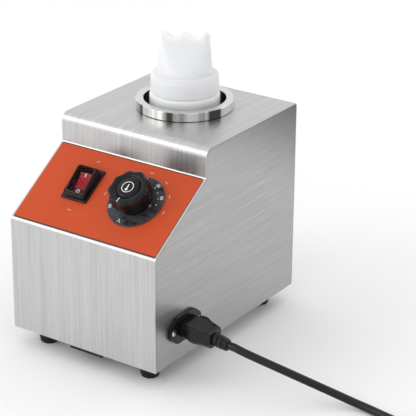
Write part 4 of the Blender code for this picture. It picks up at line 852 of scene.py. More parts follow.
connector = nose_outline("connector_body")
nose_size = (NOSE_WIDE, NOSE_HIGH)
grow(connector, nose_size, [
    (NOSE_WIDE, NOSE_HIGH, -NOSE_DEEP),
    (NOSE_WIDE, NOSE_HIGH, GRIP_START - 0.0030),
    (GRIP_WIDE - 0.0010, GRIP_HIGH - 0.0022, GRIP_START, 0, -DROOP * 0.08),
    (GRIP_WIDE, GRIP_HIGH - 0.0006, GRIP_START + 0.0035, 0, -DROOP * 0.12),
    (GRIP_WIDE - 0.0004, GRIP_HIGH - 0.0006, GRIP_START + 0.0080, 0, -DROOP * 0.20),
    (GRIP_WIDE - 0.0040, GRIP_HIGH - 0.0022, GRIP_START + 0.0130, 0, -DROOP * 0.32),
    (GRIP_WIDE - 0.0070, GRIP_HIGH - 0.0036, GRIP_END - 0.0040, 0, -DROOP * 0.50),
    (GRIP_WIDE - 0.0076, GRIP_HIGH - 0.0040, GRIP_END - 0.0010, 0, -DROOP * 0.56),
    (GRIP_WIDE - 0.0090, GRIP_HIGH - 0.0054, GRIP_END, 0, -DROOP * 0.57),
])
open_mesh(connector, "FACE")
pick(connector, "faces", under_thumb)
bpy.ops.mesh.inset(thickness=THUMB_RIM)
bpy.ops.transform.translate(value=(0, -THUMB_SUNK, 0))
close_mesh()
soften(connector, 0.00045, 3, math.radians(28))
set_down(connector, FROM_SIDE)
fit(connector, body_black, "lead", "black_plastic", "cord_connector")

# %% [markdown]
# ## The connector's strain relief
# A bend relief is a row of rings joined by a thin core: each ring stops the cord from folding at one
# place. Here there are three collars with a groove between each two, and a tapering end.

# %% Strain relief
FIRST_COLLAR = [(0.0, 1.0), (0.30, 1.0), (0.33, 0.80), (0.40, 0.80)]
SECOND_COLLAR = [(0.43, 0.99), (0.62, 0.97), (0.65, 0.80), (0.72, 0.80)]
LAST_COLLAR = [(0.75, 0.95), (0.90, 0.90), (0.97, 0.80), (1.0, 0.66)]
RELIEF_SUNK = 0.0006
DROOP_AT_GRIP = 0.58
relief_long = RELIEF_END - GRIP_END + RELIEF_SUNK
stations = []
for share, scale in FIRST_COLLAR + SECOND_COLLAR + LAST_COLLAR:
    out = GRIP_END - RELIEF_SUNK + relief_long * share
    wide = RELIEF_WIDE * scale
    stations.append((wide, wide, out, 0, -DROOP * (DROOP_AT_GRIP + (1 - DROOP_AT_GRIP) * share)))
relief = grow(round_outline("strain_relief", 48), (1, 1), stations)
soften(relief, 0.0003, 2)
set_down(relief, FROM_SIDE)
fit(relief, body_black, "lead", "black_plastic")

# %% [markdown]
# ## The mains inlet
# The inlet is a black moulding with a lozenge flange, a deep socket for the connector and two bright
# screws. A lozenge is a box outline drawn in towards its ears. A trunk is joined behind it, and the
# socket, the screws' holes and the slots for the pins are cut out of both.

# %% Inlet flange and socket
FLANGE_WIDE, FLANGE_HIGH, FLANGE_THICK = 0.050, 0.0275, 0.0032
BODY_WIDE, BODY_HIGH, BODY_DEEP = 0.0275, 0.0195, 0.0185
EAR_HIGH = 0.0102
FLANGE_CORNER = 0.0022
SCREW_PITCH = 0.040
FLANGE_GAP = 0.0003
FACE = FLANGE_GAP + FLANGE_THICK

bpy.ops.mesh.primitive_plane_add(size=1.0)
inlet = newest("inlet_body")
open_mesh(inlet, "VERT")
pick_all()
bpy.ops.transform.resize(value=(FLANGE_WIDE, FLANGE_HIGH, 1), center_override=(0, 0, 0))
cut_back = (FLANGE_WIDE - BODY_WIDE) / 2 - 0.0005
for edge_x in (-1, 1):
    here = edge_x * (FLANGE_WIDE / 2 - cut_back)
    pick_all()
    bpy.ops.mesh.bisect(plane_co=(here, 0, 0), plane_no=(1, 0, 0))
pick(inlet, "verts", lambda v: abs(v.co.x) > FLANGE_WIDE / 2 - WELD)
bpy.ops.transform.resize(value=(1, EAR_HIGH / FLANGE_HIGH, 1), center_override=(0, 0, 0))
pick_all()
bpy.ops.mesh.dissolve_faces()
pick_all()
bpy.ops.mesh.bevel(offset=FLANGE_CORNER, segments=4, affect="VERTICES")
pick_all()
bpy.ops.transform.translate(value=(0, 0, FLANGE_GAP))
bpy.ops.mesh.extrude_region_move(TRANSFORM_OT_translate={"value": (0, 0, FLANGE_THICK)})
face_outwards()
close_mesh()

TRUNK_TOP = FACE / 2
trunk_size = (BODY_WIDE, BODY_HIGH, BODY_DEEP + TRUNK_TOP)
trunk = block("trunk", trunk_size, (0, 0, (TRUNK_TOP - BODY_DEEP) / 2))
use(inlet, "BOOLEAN", object=trunk, operation="UNION", solver="EXACT")
bpy.data.objects.remove(trunk, do_unlink=True)
socket = nose_outline("socket")
ROOM = 0.0006
SOCKET_DEEP = 0.013
socket_size = (NOSE_WIDE + 2 * ROOM, NOSE_HIGH + 2 * ROOM)
grow(socket, nose_size, [(*socket_size, -SOCKET_DEEP), (*socket_size, FACE + 0.002)])
cut(inlet, socket)
SINK_TIP_R, SINK_R, SINK_DEEP, SCREW_HOLE_R = 0.0016, 0.0042, 0.0026, 0.0018
THROUGH = 0.02
PIN_SLOT = (0.0027, 0.0047, THROUGH)
PIN_PLACES = ((-0.007, 0.002), (0, -0.002), (0.007, 0.002))
for side in (-1, 1):
    x = side * SCREW_PITCH / 2
    bpy.ops.mesh.primitive_cone_add(
        vertices=32, radius1=SINK_TIP_R, radius2=SINK_R, depth=SINK_DEEP, location=(x, 0, FACE - 0.0009)
    )
    cut(inlet, newest("sink"))
    bpy.ops.mesh.primitive_cylinder_add(vertices=24, radius=SCREW_HOLE_R, depth=THROUGH, location=(x, 0, 0))
    cut(inlet, newest("hole"))
for pin_x, pin_y in PIN_PLACES:
    cut(inlet, block("slot", PIN_SLOT, (pin_x, pin_y, -BODY_DEEP)))
soften(inlet, 0.00035, 2, math.radians(40))
set_down(inlet, FROM_SIDE)
fit(inlet, body_black, "housing", "black_plastic", "inlet_housing")

# %% [markdown]
# ## Screws with a cross recess
# A countersunk screw is a turned piece with a cross pressed in its head. The cross is cut by two
# crossed boxes that narrow towards the point. One screw is modelled, and the others are copies with
# their own mesh.


# %% Inlet screws
RECESS_TAPER = 0.6
RECESS_WIDE, RECESS_LONG, RECESS_DEEP = 0.0007, 0.0036, 0.0011


def cross_recess(obj, width, length, depth, height):
    for long_x, long_y in ((length, width), (width, length)):
        bar = block("bar", (long_x, long_y, 2 * depth), (0, 0, height))
        open_mesh(bar, "FACE")
        pick(bar, "faces", lambda f: f.normal.z < -FACES_ALONG)
        tip = (0, 0, height - depth)
        bpy.ops.transform.resize(value=(RECESS_TAPER, RECESS_TAPER, 1), center_override=tip)
        close_mesh()
        cut(obj, bar)


SCREW_R, SCREW_HEAD_R = 0.0015, 0.0030
first_screw = turned("inlet_screw", [
    (0.0003, -0.0075),
    (SCREW_R, -0.0060),
    (SCREW_R, FACE - 0.0017),
    (SCREW_HEAD_R, FACE - 0.0003),
    (SCREW_HEAD_R * 0.96, FACE + 0.0002),
    (SCREW_HEAD_R * 0.60, FACE + 0.0007),
    (SCREW_HEAD_R * 0.20, FACE + 0.0009),
], 48)
cross_recess(first_screw, RECESS_WIDE, RECESS_LONG, RECESS_DEEP, FACE + 0.0009)
soften(first_screw, 0.00008, 2, math.radians(45))
for name, side in (("inlet_screw_front", -1), ("inlet_screw_rear", 1)):
    screw = own_copy(first_screw, name + "_head")
    spin = Matrix.Translation((side * SCREW_PITCH / 2, 0, 0)) @ Matrix.Rotation(0.5 + side * 0.3, 4, "Z")
    set_down(screw, FROM_SIDE @ spin)
    fit(screw, screw_steel, "housing", "polished_stainless", name)
bpy.data.objects.remove(first_screw, do_unlink=True)

# %% [markdown]
# ## The folded wrap
# The housing's back, top, lip, slope and front are one strip of 1 mm sheet, bent on a press brake.
# Drawing the strip as an edge that is extruded from corner to corner, and then bevelling only the fold
# lines, gives each fold its own radius, as the brake's tools do. The wall comes last, so that the folds
# stay even.

# %% The wrap
wrap_low, wrap_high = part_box("wrap_panel")
SHEET = 0.001
FRONT_RISE = 0.1171
LIP_RISE = 0.0291
FOLDS = {"front": (0.0040, 10), "lip_foot": (0.0020, 8), "lip_top": (0.0090, 20), "rear": (0.0030, 8)}
ON_FOLD = 0.00005

lip_y = wrap_low.y + SLOPE_RUN
corners = [
    Vector((0, wrap_low.y, wrap_low.z)),
    Vector((0, wrap_low.y, wrap_low.z + FRONT_RISE)),
    Vector((0, lip_y, wrap_high.z - LIP_RISE)),
    Vector((0, lip_y, wrap_high.z)),
    Vector((0, wrap_high.y, wrap_high.z)),
    Vector((0, wrap_high.y, wrap_low.z)),
]
wide = wrap_high.x - wrap_low.x
bpy.ops.mesh.primitive_plane_add(size=wide)
wrap = newest("wrap_sheet")
open_mesh(wrap, "VERT")
pick(wrap, "verts", lambda v: v.co.y > 0)
bpy.ops.mesh.delete(type="VERT")
bpy.ops.mesh.select_mode(type="EDGE")
pick_all()
bpy.ops.transform.translate(value=corners[0] + Vector((0, wide / 2, 0)))
for here, there in zip(corners, corners[1:]):
    bpy.ops.mesh.extrude_edges_move(TRANSFORM_OT_translate={"value": there - here})
for before, corner, after, (radius, count) in zip(corners, corners[1:], corners[2:], FOLDS.values()):
    bend = (corner - before).angle(after - corner)
    pick(wrap, "edges", lambda e: (middle(e) - corner).length < ON_FOLD)
    bpy.ops.mesh.bevel(offset=radius * math.tan(bend / 2), segments=count, affect="EDGES")
face_outwards()
close_mesh()
top_face = max(wrap.data.polygons, key=lambda f: f.center.z)
if top_face.normal.z < 0:
    wrap.data.flip_normals()
use(wrap, "SOLIDIFY", thickness=SHEET, offset=-1.0, use_even_offset=True)
print("the wrap's sheet runs over", len(corners) - 2, "folds")

# %% [markdown]
# ## Openings in the wrap
# The well, the switch and the dial's shaft pass through the sheet. The cutters are made on the slope's
# own axes: across, up the slope and out of it.

# %% Cut the wrap
SLOPE_FOOT = Matrix.Translation((0, wrap_low.y, wrap_low.z + FRONT_RISE))
ON_SLOPE = SLOPE_FOOT @ Matrix.Rotation(PANEL_TILT, 4, "X")
DIAL = Vector((0.0323, 0.053, 0))
SWITCH = Vector((-0.032, 0.0555, 0))
ON_DIAL = ON_SLOPE @ Matrix.Translation(DIAL)
ON_SWITCH = ON_SLOPE @ Matrix.Translation(SWITCH)
WELL_HOLE, SHAFT_HOLE = 0.0438, 0.0034
DIAL_SCREW_HOLE, DIAL_SCREW_OUT = 0.0020, 0.014
SWITCH_BODY = (0.0215, 0.031)
CLEAR = 0.0004


def drill(radius, place, matrix, count=48):
    bpy.ops.mesh.primitive_cylinder_add(vertices=count, radius=radius, depth=THROUGH, location=place)
    drilled = newest("drill")
    return set_down(drilled, matrix @ drilled.matrix_world)


cut(wrap, drill(WELL_HOLE, (WELL.x, WELL.y, wrap_high.z), Matrix(), 96))
cut(wrap, drill(SHAFT_HOLE, DIAL, ON_SLOPE))
for side in (-1, 1):
    cut(wrap, drill(DIAL_SCREW_HOLE, DIAL + Vector((side * DIAL_SCREW_OUT, 0, 0)), ON_SLOPE, 24))
window = (SWITCH_BODY[0] + 2 * CLEAR, SWITCH_BODY[1] + 2 * CLEAR, THROUGH)
cut(wrap, block("window", window, SWITCH, ON_SLOPE))
soften(wrap, 0.00022, 2, math.radians(60))
fit(wrap, wrap_steel, "housing", "brushed_stainless", "wrap_panel")

# %% [markdown]
# ## The well's ring
# The bottle stands in a round well, and a spun steel ring covers the edge of the hole. Its flat top is
# satin from the lathe, and its outer wall is polished, so the two get their own finishes: the top faces
# are picked by their normal and given the second material.

# %% Well ring
ring_low, ring_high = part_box("well_ring")
RING_R = (ring_high.x - ring_low.x) / 2
WELL_R = 0.041
RING_WALL = 0.0012
ring_foot = wrap_high.z + 0.0003
ring = turned("spun_ring", [
    (RING_R - RING_WALL, ring_foot),
    (RING_R, ring_foot),
    (RING_R, ring_high.z),
    (WELL_R, ring_high.z),
    (WELL_R, ring_low.z),
    (WELL_R + RING_WALL, ring_low.z),
    (WELL_R + RING_WALL, ring_high.z - RING_WALL),
    (RING_R - RING_WALL, ring_high.z - RING_WALL),
], 128, ends="join")
soften(ring, 0.0007, 4, math.radians(60))
set_down(ring, AT_WELL)
fit(ring, ring_steel, "housing", "polished_stainless", "well_ring")
paint(ring, ring_face, lambda f: f.normal.z > FACES_ALONG and f.center.z > ring_high.z - 0.0005)

# %% [markdown]
# ## Feet
# Each foot is a rubber cone on a screw. It is turned: up the outside, in over the top and down the
# bore, and the open ends are joined. One foot is modelled and copied to the other corners.

# %% Feet
FOOT_TOP_R, FOOT_TIP_R = 0.0110, 0.00875
FOOT_BORE_R, FOOT_BORE_DEEP, FOOT_SCREW_R = 0.0052, 0.0090, 0.0026
foot_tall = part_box("foot_front_left")[1].z
first_foot = turned("rubber_foot", [
    (FOOT_BORE_R, 0.0),
    (FOOT_TIP_R - 0.0008, 0.0),
    (FOOT_TIP_R, 0.0006),
    (FOOT_TOP_R - 0.0001, foot_tall * 0.60),
    (FOOT_TOP_R, foot_tall * 0.70),
    (FOOT_TOP_R, foot_tall - 0.0012),
    (FOOT_TOP_R - 0.0008, foot_tall),
    (FOOT_SCREW_R, foot_tall),
    (FOOT_SCREW_R, FOOT_BORE_DEEP),
    (FOOT_BORE_R, FOOT_BORE_DEEP),
], 64, ends="join")
soften(first_foot, 0.0004, 3)
for end in ("front", "rear"):
    for side in ("left", "right"):
        node = f"foot_{end}_{side}"
        low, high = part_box(node)
        foot = own_copy(first_foot, "rubber_" + node)
        set_down(foot, Matrix.Translation(((low.x + high.x) / 2, (low.y + high.y) / 2, 0)))
        fit(foot, rubber_black, "housing", "black_rubber", node)
bpy.data.objects.remove(first_foot, do_unlink=True)

# %% [markdown]
# ## The bottle
# The bottle is blown from milky polyethylene: a straight body with a narrower neck at each end, because
# its foot is a cap too, so that it can be filled and cleaned. The outside runs up from the lower neck,
# and the inside comes back down a wall's thickness further in.

# %% Bottle body
body_low, body_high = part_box("bottle_body")
base_low, base_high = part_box("bottle_base_cap")
cap_low, cap_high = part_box("nozzle_cap")
BOTTLE_R = (body_high.x - body_low.x) / 2
NECK_R = BOTTLE_R - 0.0038
NECK_WALL, BODY_WALL = 0.0016, 0.0014
SHOULDER_Z = cap_low.z - 0.0005
FOOT_Z = base_high.z + 0.0003
neck_in = NECK_R - NECK_WALL
body_in = BOTTLE_R - BODY_WALL
bottle = turned("blown_bottle", [
    (neck_in, body_low.z),
    (NECK_R, body_low.z),
    (NECK_R, FOOT_Z),
    (BOTTLE_R - 0.0022, FOOT_Z + 0.0001),
    (BOTTLE_R - 0.0008, FOOT_Z + 0.0009),
    (BOTTLE_R - 0.0001, FOOT_Z + 0.0028),
    (BOTTLE_R, FOOT_Z + 0.0060),
    (BOTTLE_R, SHOULDER_Z - 0.0060),
    (BOTTLE_R - 0.0001, SHOULDER_Z - 0.0030),
    (BOTTLE_R - 0.0006, SHOULDER_Z - 0.0012),
    (BOTTLE_R - 0.0018, SHOULDER_Z - 0.0002),
    (BOTTLE_R - 0.0028, SHOULDER_Z + 0.0001),
    (NECK_R, SHOULDER_Z + 0.0002),
    (NECK_R, body_high.z),
    (neck_in, body_high.z),
    (neck_in, SHOULDER_Z - 0.0012),
    (body_in - 0.0006, SHOULDER_Z - 0.0040),
    (body_in, SHOULDER_Z - 0.0070),
    (body_in, FOOT_Z + 0.0080),
    (body_in - 0.0006, FOOT_Z + 0.0050),
    (neck_in, FOOT_Z + 0.0012),
], 128, ends="join")
soften(bottle, 0.0003, 2, math.radians(40))
set_down(bottle, AT_WELL)
fit(bottle, milky, "bottle", "milky_plastic", "bottle_body")

# %% [markdown]
# ## The base cap
# The foot of the bottle is a screw cap with a sharp rim, a wall that leans in at the bottom, and fine
# ribs for the fingers. The ribs are made by picking every second column of faces and pushing it out a
# little.

# %% Base cap
BASE_WALL = BOTTLE_R - 0.00095
RIB, RIB_RIM = 0.00035, 0.0002
COLUMNS = 144
CENTRE_R = 0.0008
RIBS_LOW, RIBS_HIGH = base_low.z + 0.0110, base_high.z - 0.0018
bore = NECK_R + 0.0004
floor_z = base_low.z + 0.002
base_cap = turned("base_screw_cap", [
    (CENTRE_R, base_low.z),
    (BASE_WALL - 0.0075, base_low.z),
    (BASE_WALL - 0.0052, base_low.z + 0.0004),
    (BASE_WALL - 0.0030, base_low.z + 0.0016),
    (BASE_WALL - 0.0012, base_low.z + 0.0042),
    (BASE_WALL - 0.0002, base_low.z + 0.0080),
    (BASE_WALL, RIBS_LOW),
    (BASE_WALL, RIBS_HIGH),
    (BOTTLE_R, base_high.z - 0.0014),
    (BOTTLE_R, base_high.z),
    (bore, base_high.z),
    (bore, floor_z + 0.0040),
    (bore - 0.0012, floor_z + 0.0012),
    (bore - 0.0040, floor_z),
    (CENTRE_R, floor_z),
], COLUMNS)
open_mesh(base_cap, "FACE")


def rib_face(face):
    centre = face.calc_center_median()
    column = round(math.atan2(centre.y, centre.x) * COLUMNS / (2 * math.pi) - 0.5)
    on_wall = RIBS_LOW < centre.z < RIBS_HIGH and centre.xy.length > bore + 0.001
    return on_wall and column % 2 == 0


pick(base_cap, "faces", rib_face)
bpy.ops.mesh.inset(thickness=RIB_RIM, use_individual=True)
swell = 1 + RIB / BASE_WALL
bpy.ops.transform.resize(value=(swell, swell, 1), center_override=(0, 0, base_low.z))
close_mesh()
shade(base_cap)
set_down(base_cap, AT_WELL)
fit(base_cap, milky, "base_cap", "milky_plastic", "bottle_base_cap")

# %% [markdown]
# ## The nozzle cap
# The cap starts as a round screw collar and flattens into a wedge with three small spouts in a row. No
# single operator turns a circle into that, so its rings are worked out by a formula: each one is a
# rounded oval that runs from a circle to nearly a bar, and the skin between them is lofted. The hollows
# between the spouts and the bores are then cut, and the edges rounded as a mould would.

# %% Nozzle cap
COLLAR_R = 0.0340
COLLAR_TOP = cap_low.z + 0.019
NOZZLE_R = COLLAR_R - 0.007
TIP_LONG = 2 * (NOZZLE_R - 0.0026)
TIP_THICK = 0.0066
TIP_PITCH = (TIP_LONG - TIP_THICK) / 4
TIP_NOTCH = 0.005
TIP_BORE = 0.0014
NOZZLE_TURN = math.radians(26)
CAP_WALL = 0.0022
RING_COUNT = 128


def oval(half_long, half_thick, height, square=2.0):
    ring_points = []
    for i in range(RING_COUNT):
        angle = 2 * math.pi * i / RING_COUNT
        c, s = math.cos(angle), math.sin(angle)
        x = half_long * math.copysign(abs(c) ** (2 / square), c)
        y = half_thick * math.copysign(abs(s) ** (2 / square), s)
        ring_points.append(Vector((x, y, height)))
    return ring_points


def lofted(name, rings):
    shape = bmesh.new()
    loops = [[shape.verts.new(point) for point in ring_points] for ring_points in rings]
    for lower, upper in zip(loops, loops[1:]):
        for i in range(RING_COUNT):
            k = (i + 1) % RING_COUNT
            shape.faces.new((lower[i], lower[k], upper[k], upper[i]))
    shape.faces.new(list(reversed(loops[0])))
    shape.faces.new(loops[-1])
    bmesh.ops.recalc_face_normals(shape, faces=shape.faces)
    mesh = bpy.data.meshes.new(name)
    shape.to_mesh(mesh)
    shape.free()
    obj = bpy.data.objects.new(name, mesh)
    bpy.context.scene.collection.objects.link(obj)
    return obj


def wedge(shrink, foot, top, count):
    """The rings of the flattening part, from a circle at its foot to a bar at its top."""
    found = []
    for i in range(count + 1):
        share = i / count
        flat = share * share * (3 - 2 * share)
        half_long = NOZZLE_R + (TIP_LONG / 2 - NOZZLE_R) * share - shrink
        half_thick = NOZZLE_R + (TIP_THICK / 2 - NOZZLE_R) * flat ** 0.72 - shrink
        found.append(oval(half_long, half_thick, foot + (top - foot) * share, 2.0 + 1.5 * share))
    return found


def rounds(profile):
    """Plain circles from (radius, height) points."""
    return [oval(radius, radius, height) for radius, height in profile]


collar = rounds([
    (COLLAR_R - 0.0003, cap_low.z),
    (COLLAR_R, cap_low.z + 0.0003),
    (COLLAR_R, COLLAR_TOP - 0.0058),
    (COLLAR_R - 0.0003, COLLAR_TOP - 0.0038),
    (COLLAR_R - 0.0012, COLLAR_TOP - 0.0019),
    (COLLAR_R - 0.0026, COLLAR_TOP - 0.0006),
    (COLLAR_R - 0.0042, COLLAR_TOP),
    (NOZZLE_R + 0.0010, COLLAR_TOP + 0.0001),
    (NOZZLE_R + 0.0002, COLLAR_TOP + 0.0010),
])
nozzle = lofted("nozzle_moulding", collar + wedge(0.0, COLLAR_TOP + 0.0030, cap_high.z, 22))
ceiling = COLLAR_TOP - CAP_WALL
room_top = cap_high.z - 0.008
inner_wedge = wedge(CAP_WALL * 0.85, COLLAR_TOP + 0.0015, cap_high.z - 0.002, 16)
room = rounds([
    (bore, cap_low.z - 0.001),
    (bore, ceiling),
    (NOZZLE_R - CAP_WALL, ceiling + 0.0004),
])
room += [ring_points for ring_points in inner_wedge if ring_points[0].z < room_top]
cut(nozzle, lofted("nozzle_room", room))
notch_half = TIP_PITCH - TIP_THICK / 2
notch_r = (notch_half ** 2 + TIP_NOTCH ** 2) / (2 * TIP_NOTCH)
for side in (-1, 1):
    place = (side * TIP_PITCH, 0, cap_high.z + notch_r - TIP_NOTCH)
    on_side = Matrix.Translation(place) @ Matrix.Rotation(math.pi / 2, 4, "X")
    cut(nozzle, drill(notch_r, (0, 0, 0), on_side, 96))
for side in (-2, 0, 2):
    cut(nozzle, drill(TIP_BORE, (side * TIP_PITCH, 0, cap_high.z - 0.0005), Matrix(), 32))
soften(nozzle, 0.0005, 3, math.radians(42))
set_down(nozzle, AT_WELL @ Matrix.Rotation(NOZZLE_TURN, 4, "Z"))
fit(nozzle, milky, "nozzle", "milky_plastic", "nozzle_cap")

# %% [markdown]
# ## The dial's bezel
# Behind the knob lies a flat dark disc with the scale printed on it: a dot for every step, and a number
# at every second dot. The disc is a turned washer with a soft edge.

# %% Bezel
FILM_TOP = 0.0007
BEZEL_LOW, BEZEL_TOP = FILM_TOP + 0.0003, FILM_TOP + 0.0013
BEZEL_R, BEZEL_BORE_R = 0.029, 0.0180
bezel = turned("dial_disc", [
    (BEZEL_BORE_R, BEZEL_LOW),
    (BEZEL_R, BEZEL_LOW),
    (BEZEL_R, BEZEL_TOP - 0.0003),
    (BEZEL_R - 0.0006, BEZEL_TOP),
    (BEZEL_BORE_R, BEZEL_TOP),
], 128, ends="join")
soften(bezel, 0.00015, 2, math.radians(25))
set_down(bezel, ON_DIAL)
fit(bezel, bezel_grey, "housing", "grey_plastic")

# %% [markdown]
# ## The scale
# Numbers are text objects, made a mesh before they are placed. The dots are short turned studs, thin as
# ink. All the marks of the scale are joined in one piece.

# %% Scale
INK = 0.00006
DOT_R, DOT_RING, NUMBER_RING = 0.0006, 0.0222, 0.0257
NUMBER_TALL, NUMBER_BOLD = 0.0044, 0.00008
FIRST_MARK = math.radians(-119)
MARK_STEP = math.radians(18.5)
NUMBERS = ("30", "35", "40", "45", "50", "85")
UNIT_ANGLE, UNIT_RING = math.radians(190), 0.0248


def printed_text(words, tall, matrix):
    """Flat lettering with an ink's thickness, as a mesh."""
    data = bpy.data.curves.new("words", "FONT")
    data.body = words
    data.size = tall
    data.align_x = "CENTER"
    data.align_y = "CENTER"
    data.extrude = INK / 2
    data.offset = NUMBER_BOLD
    data.resolution_u = 3
    obj = bpy.data.objects.new("words", data)
    bpy.context.scene.collection.objects.link(obj)
    alone(obj)
    bpy.ops.object.convert(target="MESH")
    obj = bpy.context.active_object
    return set_down(obj, matrix)


def at_angle(angle, radius, height):
    """A place on the dial, turned from up-slope like a clock's hand."""
    out_from_dial = Matrix.Translation((0, radius, height))
    return Matrix.Translation(DIAL) @ Matrix.Rotation(-angle, 4, "Z") @ out_from_dial


def join(name, pieces):
    bpy.ops.object.select_all(action="DESELECT")
    for piece in pieces:
        piece.select_set(True)
    bpy.context.view_layer.objects.active = pieces[0]
    bpy.ops.object.join()
    obj = newest(name)
    open_mesh(obj, "VERT")
    pick_all()
    bpy.ops.mesh.remove_doubles(threshold=WELD)
    face_outwards()
    close_mesh()
    return obj


marks = []
for i in range(2 * len(NUMBERS)):
    angle = FIRST_MARK + MARK_STEP * i
    dot = turned("dot", [(DOT_R, 0), (DOT_R, INK), (DOT_R * 0.8, INK * 1.4)], 20)
    marks.append(set_down(dot, ON_SLOPE @ at_angle(angle, DOT_RING, BEZEL_TOP + INK * 0.2)))
    if i % 2 == 0:
        place = at_angle(angle, NUMBER_RING, BEZEL_TOP + INK)
        marks.append(printed_text(NUMBERS[i // 2], NUMBER_TALL, ON_SLOPE @ place))
place = at_angle(UNIT_ANGLE, UNIT_RING, BEZEL_TOP + INK)
marks.append(printed_text("°C", NUMBER_TALL, ON_SLOPE @ place))
scale = join("dial_scale", marks)
fit(scale, print_white, "housing", "grey_plastic")

# %% [markdown]
# ## The knob
# The knob is a glossy moulding with nine shallow lobes for the fingers. It is grown from a circle of
# many points, and then each point's distance from the axis is scaled by a wave that fades out at the
# foot and on the face. The face has a ring-shaped recess round a low dome.

# %% Knob
KNOB_R, KNOB_TALL = 0.0202, 0.0245
LOBES, LOBE = 9, 0.0009
LOBE_RISE, LOBE_START, LOBE_RANGE = 0.009, 0.72, 0.20
SHAFT_R = 0.0033
knob_low = BEZEL_TOP + 0.0008
knob = turned("grip_knob", [
    (KNOB_R * 0.84, knob_low),
    (KNOB_R * 0.85, knob_low + 0.0034),
    (KNOB_R * 0.93, knob_low + 0.0042),
    (KNOB_R * 0.965, knob_low + 0.0056),
    (KNOB_R * 0.975, knob_low + 0.0090),
    (KNOB_R * 0.995, knob_low + 0.0120),
    (KNOB_R * 1.000, KNOB_TALL - 0.0050),
    (KNOB_R * 0.992, KNOB_TALL - 0.0024),
    (KNOB_R * 0.965, KNOB_TALL - 0.0011),
    (KNOB_R * 0.920, KNOB_TALL - 0.0003),
    (KNOB_R * 0.860, KNOB_TALL),
    (KNOB_R * 0.720, KNOB_TALL - 0.0002),
    (KNOB_R * 0.660, KNOB_TALL - 0.0008),
    (KNOB_R * 0.620, KNOB_TALL - 0.0018),
    (KNOB_R * 0.590, KNOB_TALL - 0.0020),
    (KNOB_R * 0.570, KNOB_TALL - 0.0016),
    (KNOB_R * 0.545, KNOB_TALL - 0.0007),
    (KNOB_R * 0.500, KNOB_TALL - 0.0001),
    (KNOB_R * 0.400, KNOB_TALL + 0.0001),
    (KNOB_R * 0.020, KNOB_TALL + 0.0002),
], 180)
for vertex in knob.data.vertices:
    reach = vertex.co.xy.length
    angle = math.atan2(vertex.co.y, vertex.co.x)
    height_share = min(1.0, max(0.0, (vertex.co.z - knob_low) / LOBE_RISE))
    edge_share = min(1.0, max(0.0, (reach / KNOB_R - LOBE_START) / LOBE_RANGE))
    vertex.co.xy *= 1 + LOBE / KNOB_R * math.cos(LOBES * angle) * height_share * edge_share
cut(knob, drill(SHAFT_R, (0, 0, knob_low + 0.007), Matrix(), 32))
shade(knob, math.radians(40))
set_down(knob, ON_DIAL)
fit(knob, knob_black, "knob", "black_plastic", "knob")

# %% [markdown]
# ## Marks on the knob
# A white line on the edge of the face points at the scale, and a plain thermometer in a ring sits on
# the dome: a short bar with a bulb. They are thin raised ink, so they are shapes, and turn with the
# knob.

# %% Pointer and emblem
POINTER_TURN = math.radians(-5.5)
POINTER_SIZE, POINTER_OUT = (0.0007, 0.0052, 0.0004), -0.0158
EMBLEM_R, EMBLEM_LINE, EMBLEM_Z = 0.0062, 0.0007, KNOB_TALL + 0.00008
STEM_WIDE, STEM_LONG, STEM_UP = 0.0011, 0.0050, 0.0006
BULB_R, BULB_TOP_R, BULB_DOWN = 0.0014, 0.0010, 0.0028

pointer = block("pointer_line", POINTER_SIZE, (0, POINTER_OUT, KNOB_TALL - 0.00010))
soften(pointer, 0.00008, 2)
set_down(pointer, Matrix.Rotation(POINTER_TURN, 4, "Z"))


def flat_ring(name, radius, line, thick, count):
    """A thin ring of ink that lies flat."""
    inner = radius - line
    return turned(name, [(inner, 0), (radius, 0), (radius, thick), (inner, thick)], count, ends="join")


emblem_ring = flat_ring("emblem", EMBLEM_R, EMBLEM_LINE, 3 * INK, 64)
set_down(emblem_ring, Matrix.Translation((0, 0, EMBLEM_Z - INK)))
emblem_bar = block("emblem_bar", (STEM_WIDE, STEM_LONG, 3 * INK), (0, STEM_UP, EMBLEM_Z + INK))
soften(emblem_bar, 0.00005, 2)
bulb = turned("bulb", [(BULB_R, 0), (BULB_R, 2 * INK), (BULB_TOP_R, 3 * INK)], 32)
set_down(bulb, Matrix.Translation((0, -BULB_DOWN, EMBLEM_Z)))
knob_marks = join("knob_marks", [pointer, emblem_ring, emblem_bar, bulb])
set_down(knob_marks, ON_DIAL)
fit(knob_marks, print_white, "knob", "black_plastic")

# %% [markdown]
# ## The switch
# The switch snaps into the panel from the front. Its black flange lies on the film and its trunk goes
# through the sheet, hollow at the top where the rocker swings. The shell is grown from the trunk's
# bottom, out under the flange, over it and down into the well.

# %% Switch body
SWITCH_LOW, SWITCH_TOP = FILM_TOP + 0.0003, FILM_TOP + 0.0023
SWITCH_DEEP, ROCKER_ROOM_DEEP = 0.022, 0.009
SWITCH_FLANGE = (0.0300, 0.0395)
ROCKER_ROOM = (0.0185, 0.028)
switch = box_outline("switch_moulding", *SWITCH_BODY, 0.0012, 3)
grow(switch, SWITCH_BODY, [
    (*SWITCH_BODY, -SWITCH_DEEP),
    (*SWITCH_BODY, SWITCH_LOW),
    (*SWITCH_FLANGE, SWITCH_LOW),
    (*SWITCH_FLANGE, SWITCH_TOP - 0.0005),
    (SWITCH_FLANGE[0] - 0.0010, SWITCH_FLANGE[1] - 0.0010, SWITCH_TOP),
    (*ROCKER_ROOM, SWITCH_TOP),
    (*ROCKER_ROOM, -ROCKER_ROOM_DEEP),
])
soften(switch, 0.0003, 2)
set_down(switch, ON_SWITCH)
fit(switch, body_black, "housing", "black_plastic", "switch_housing")

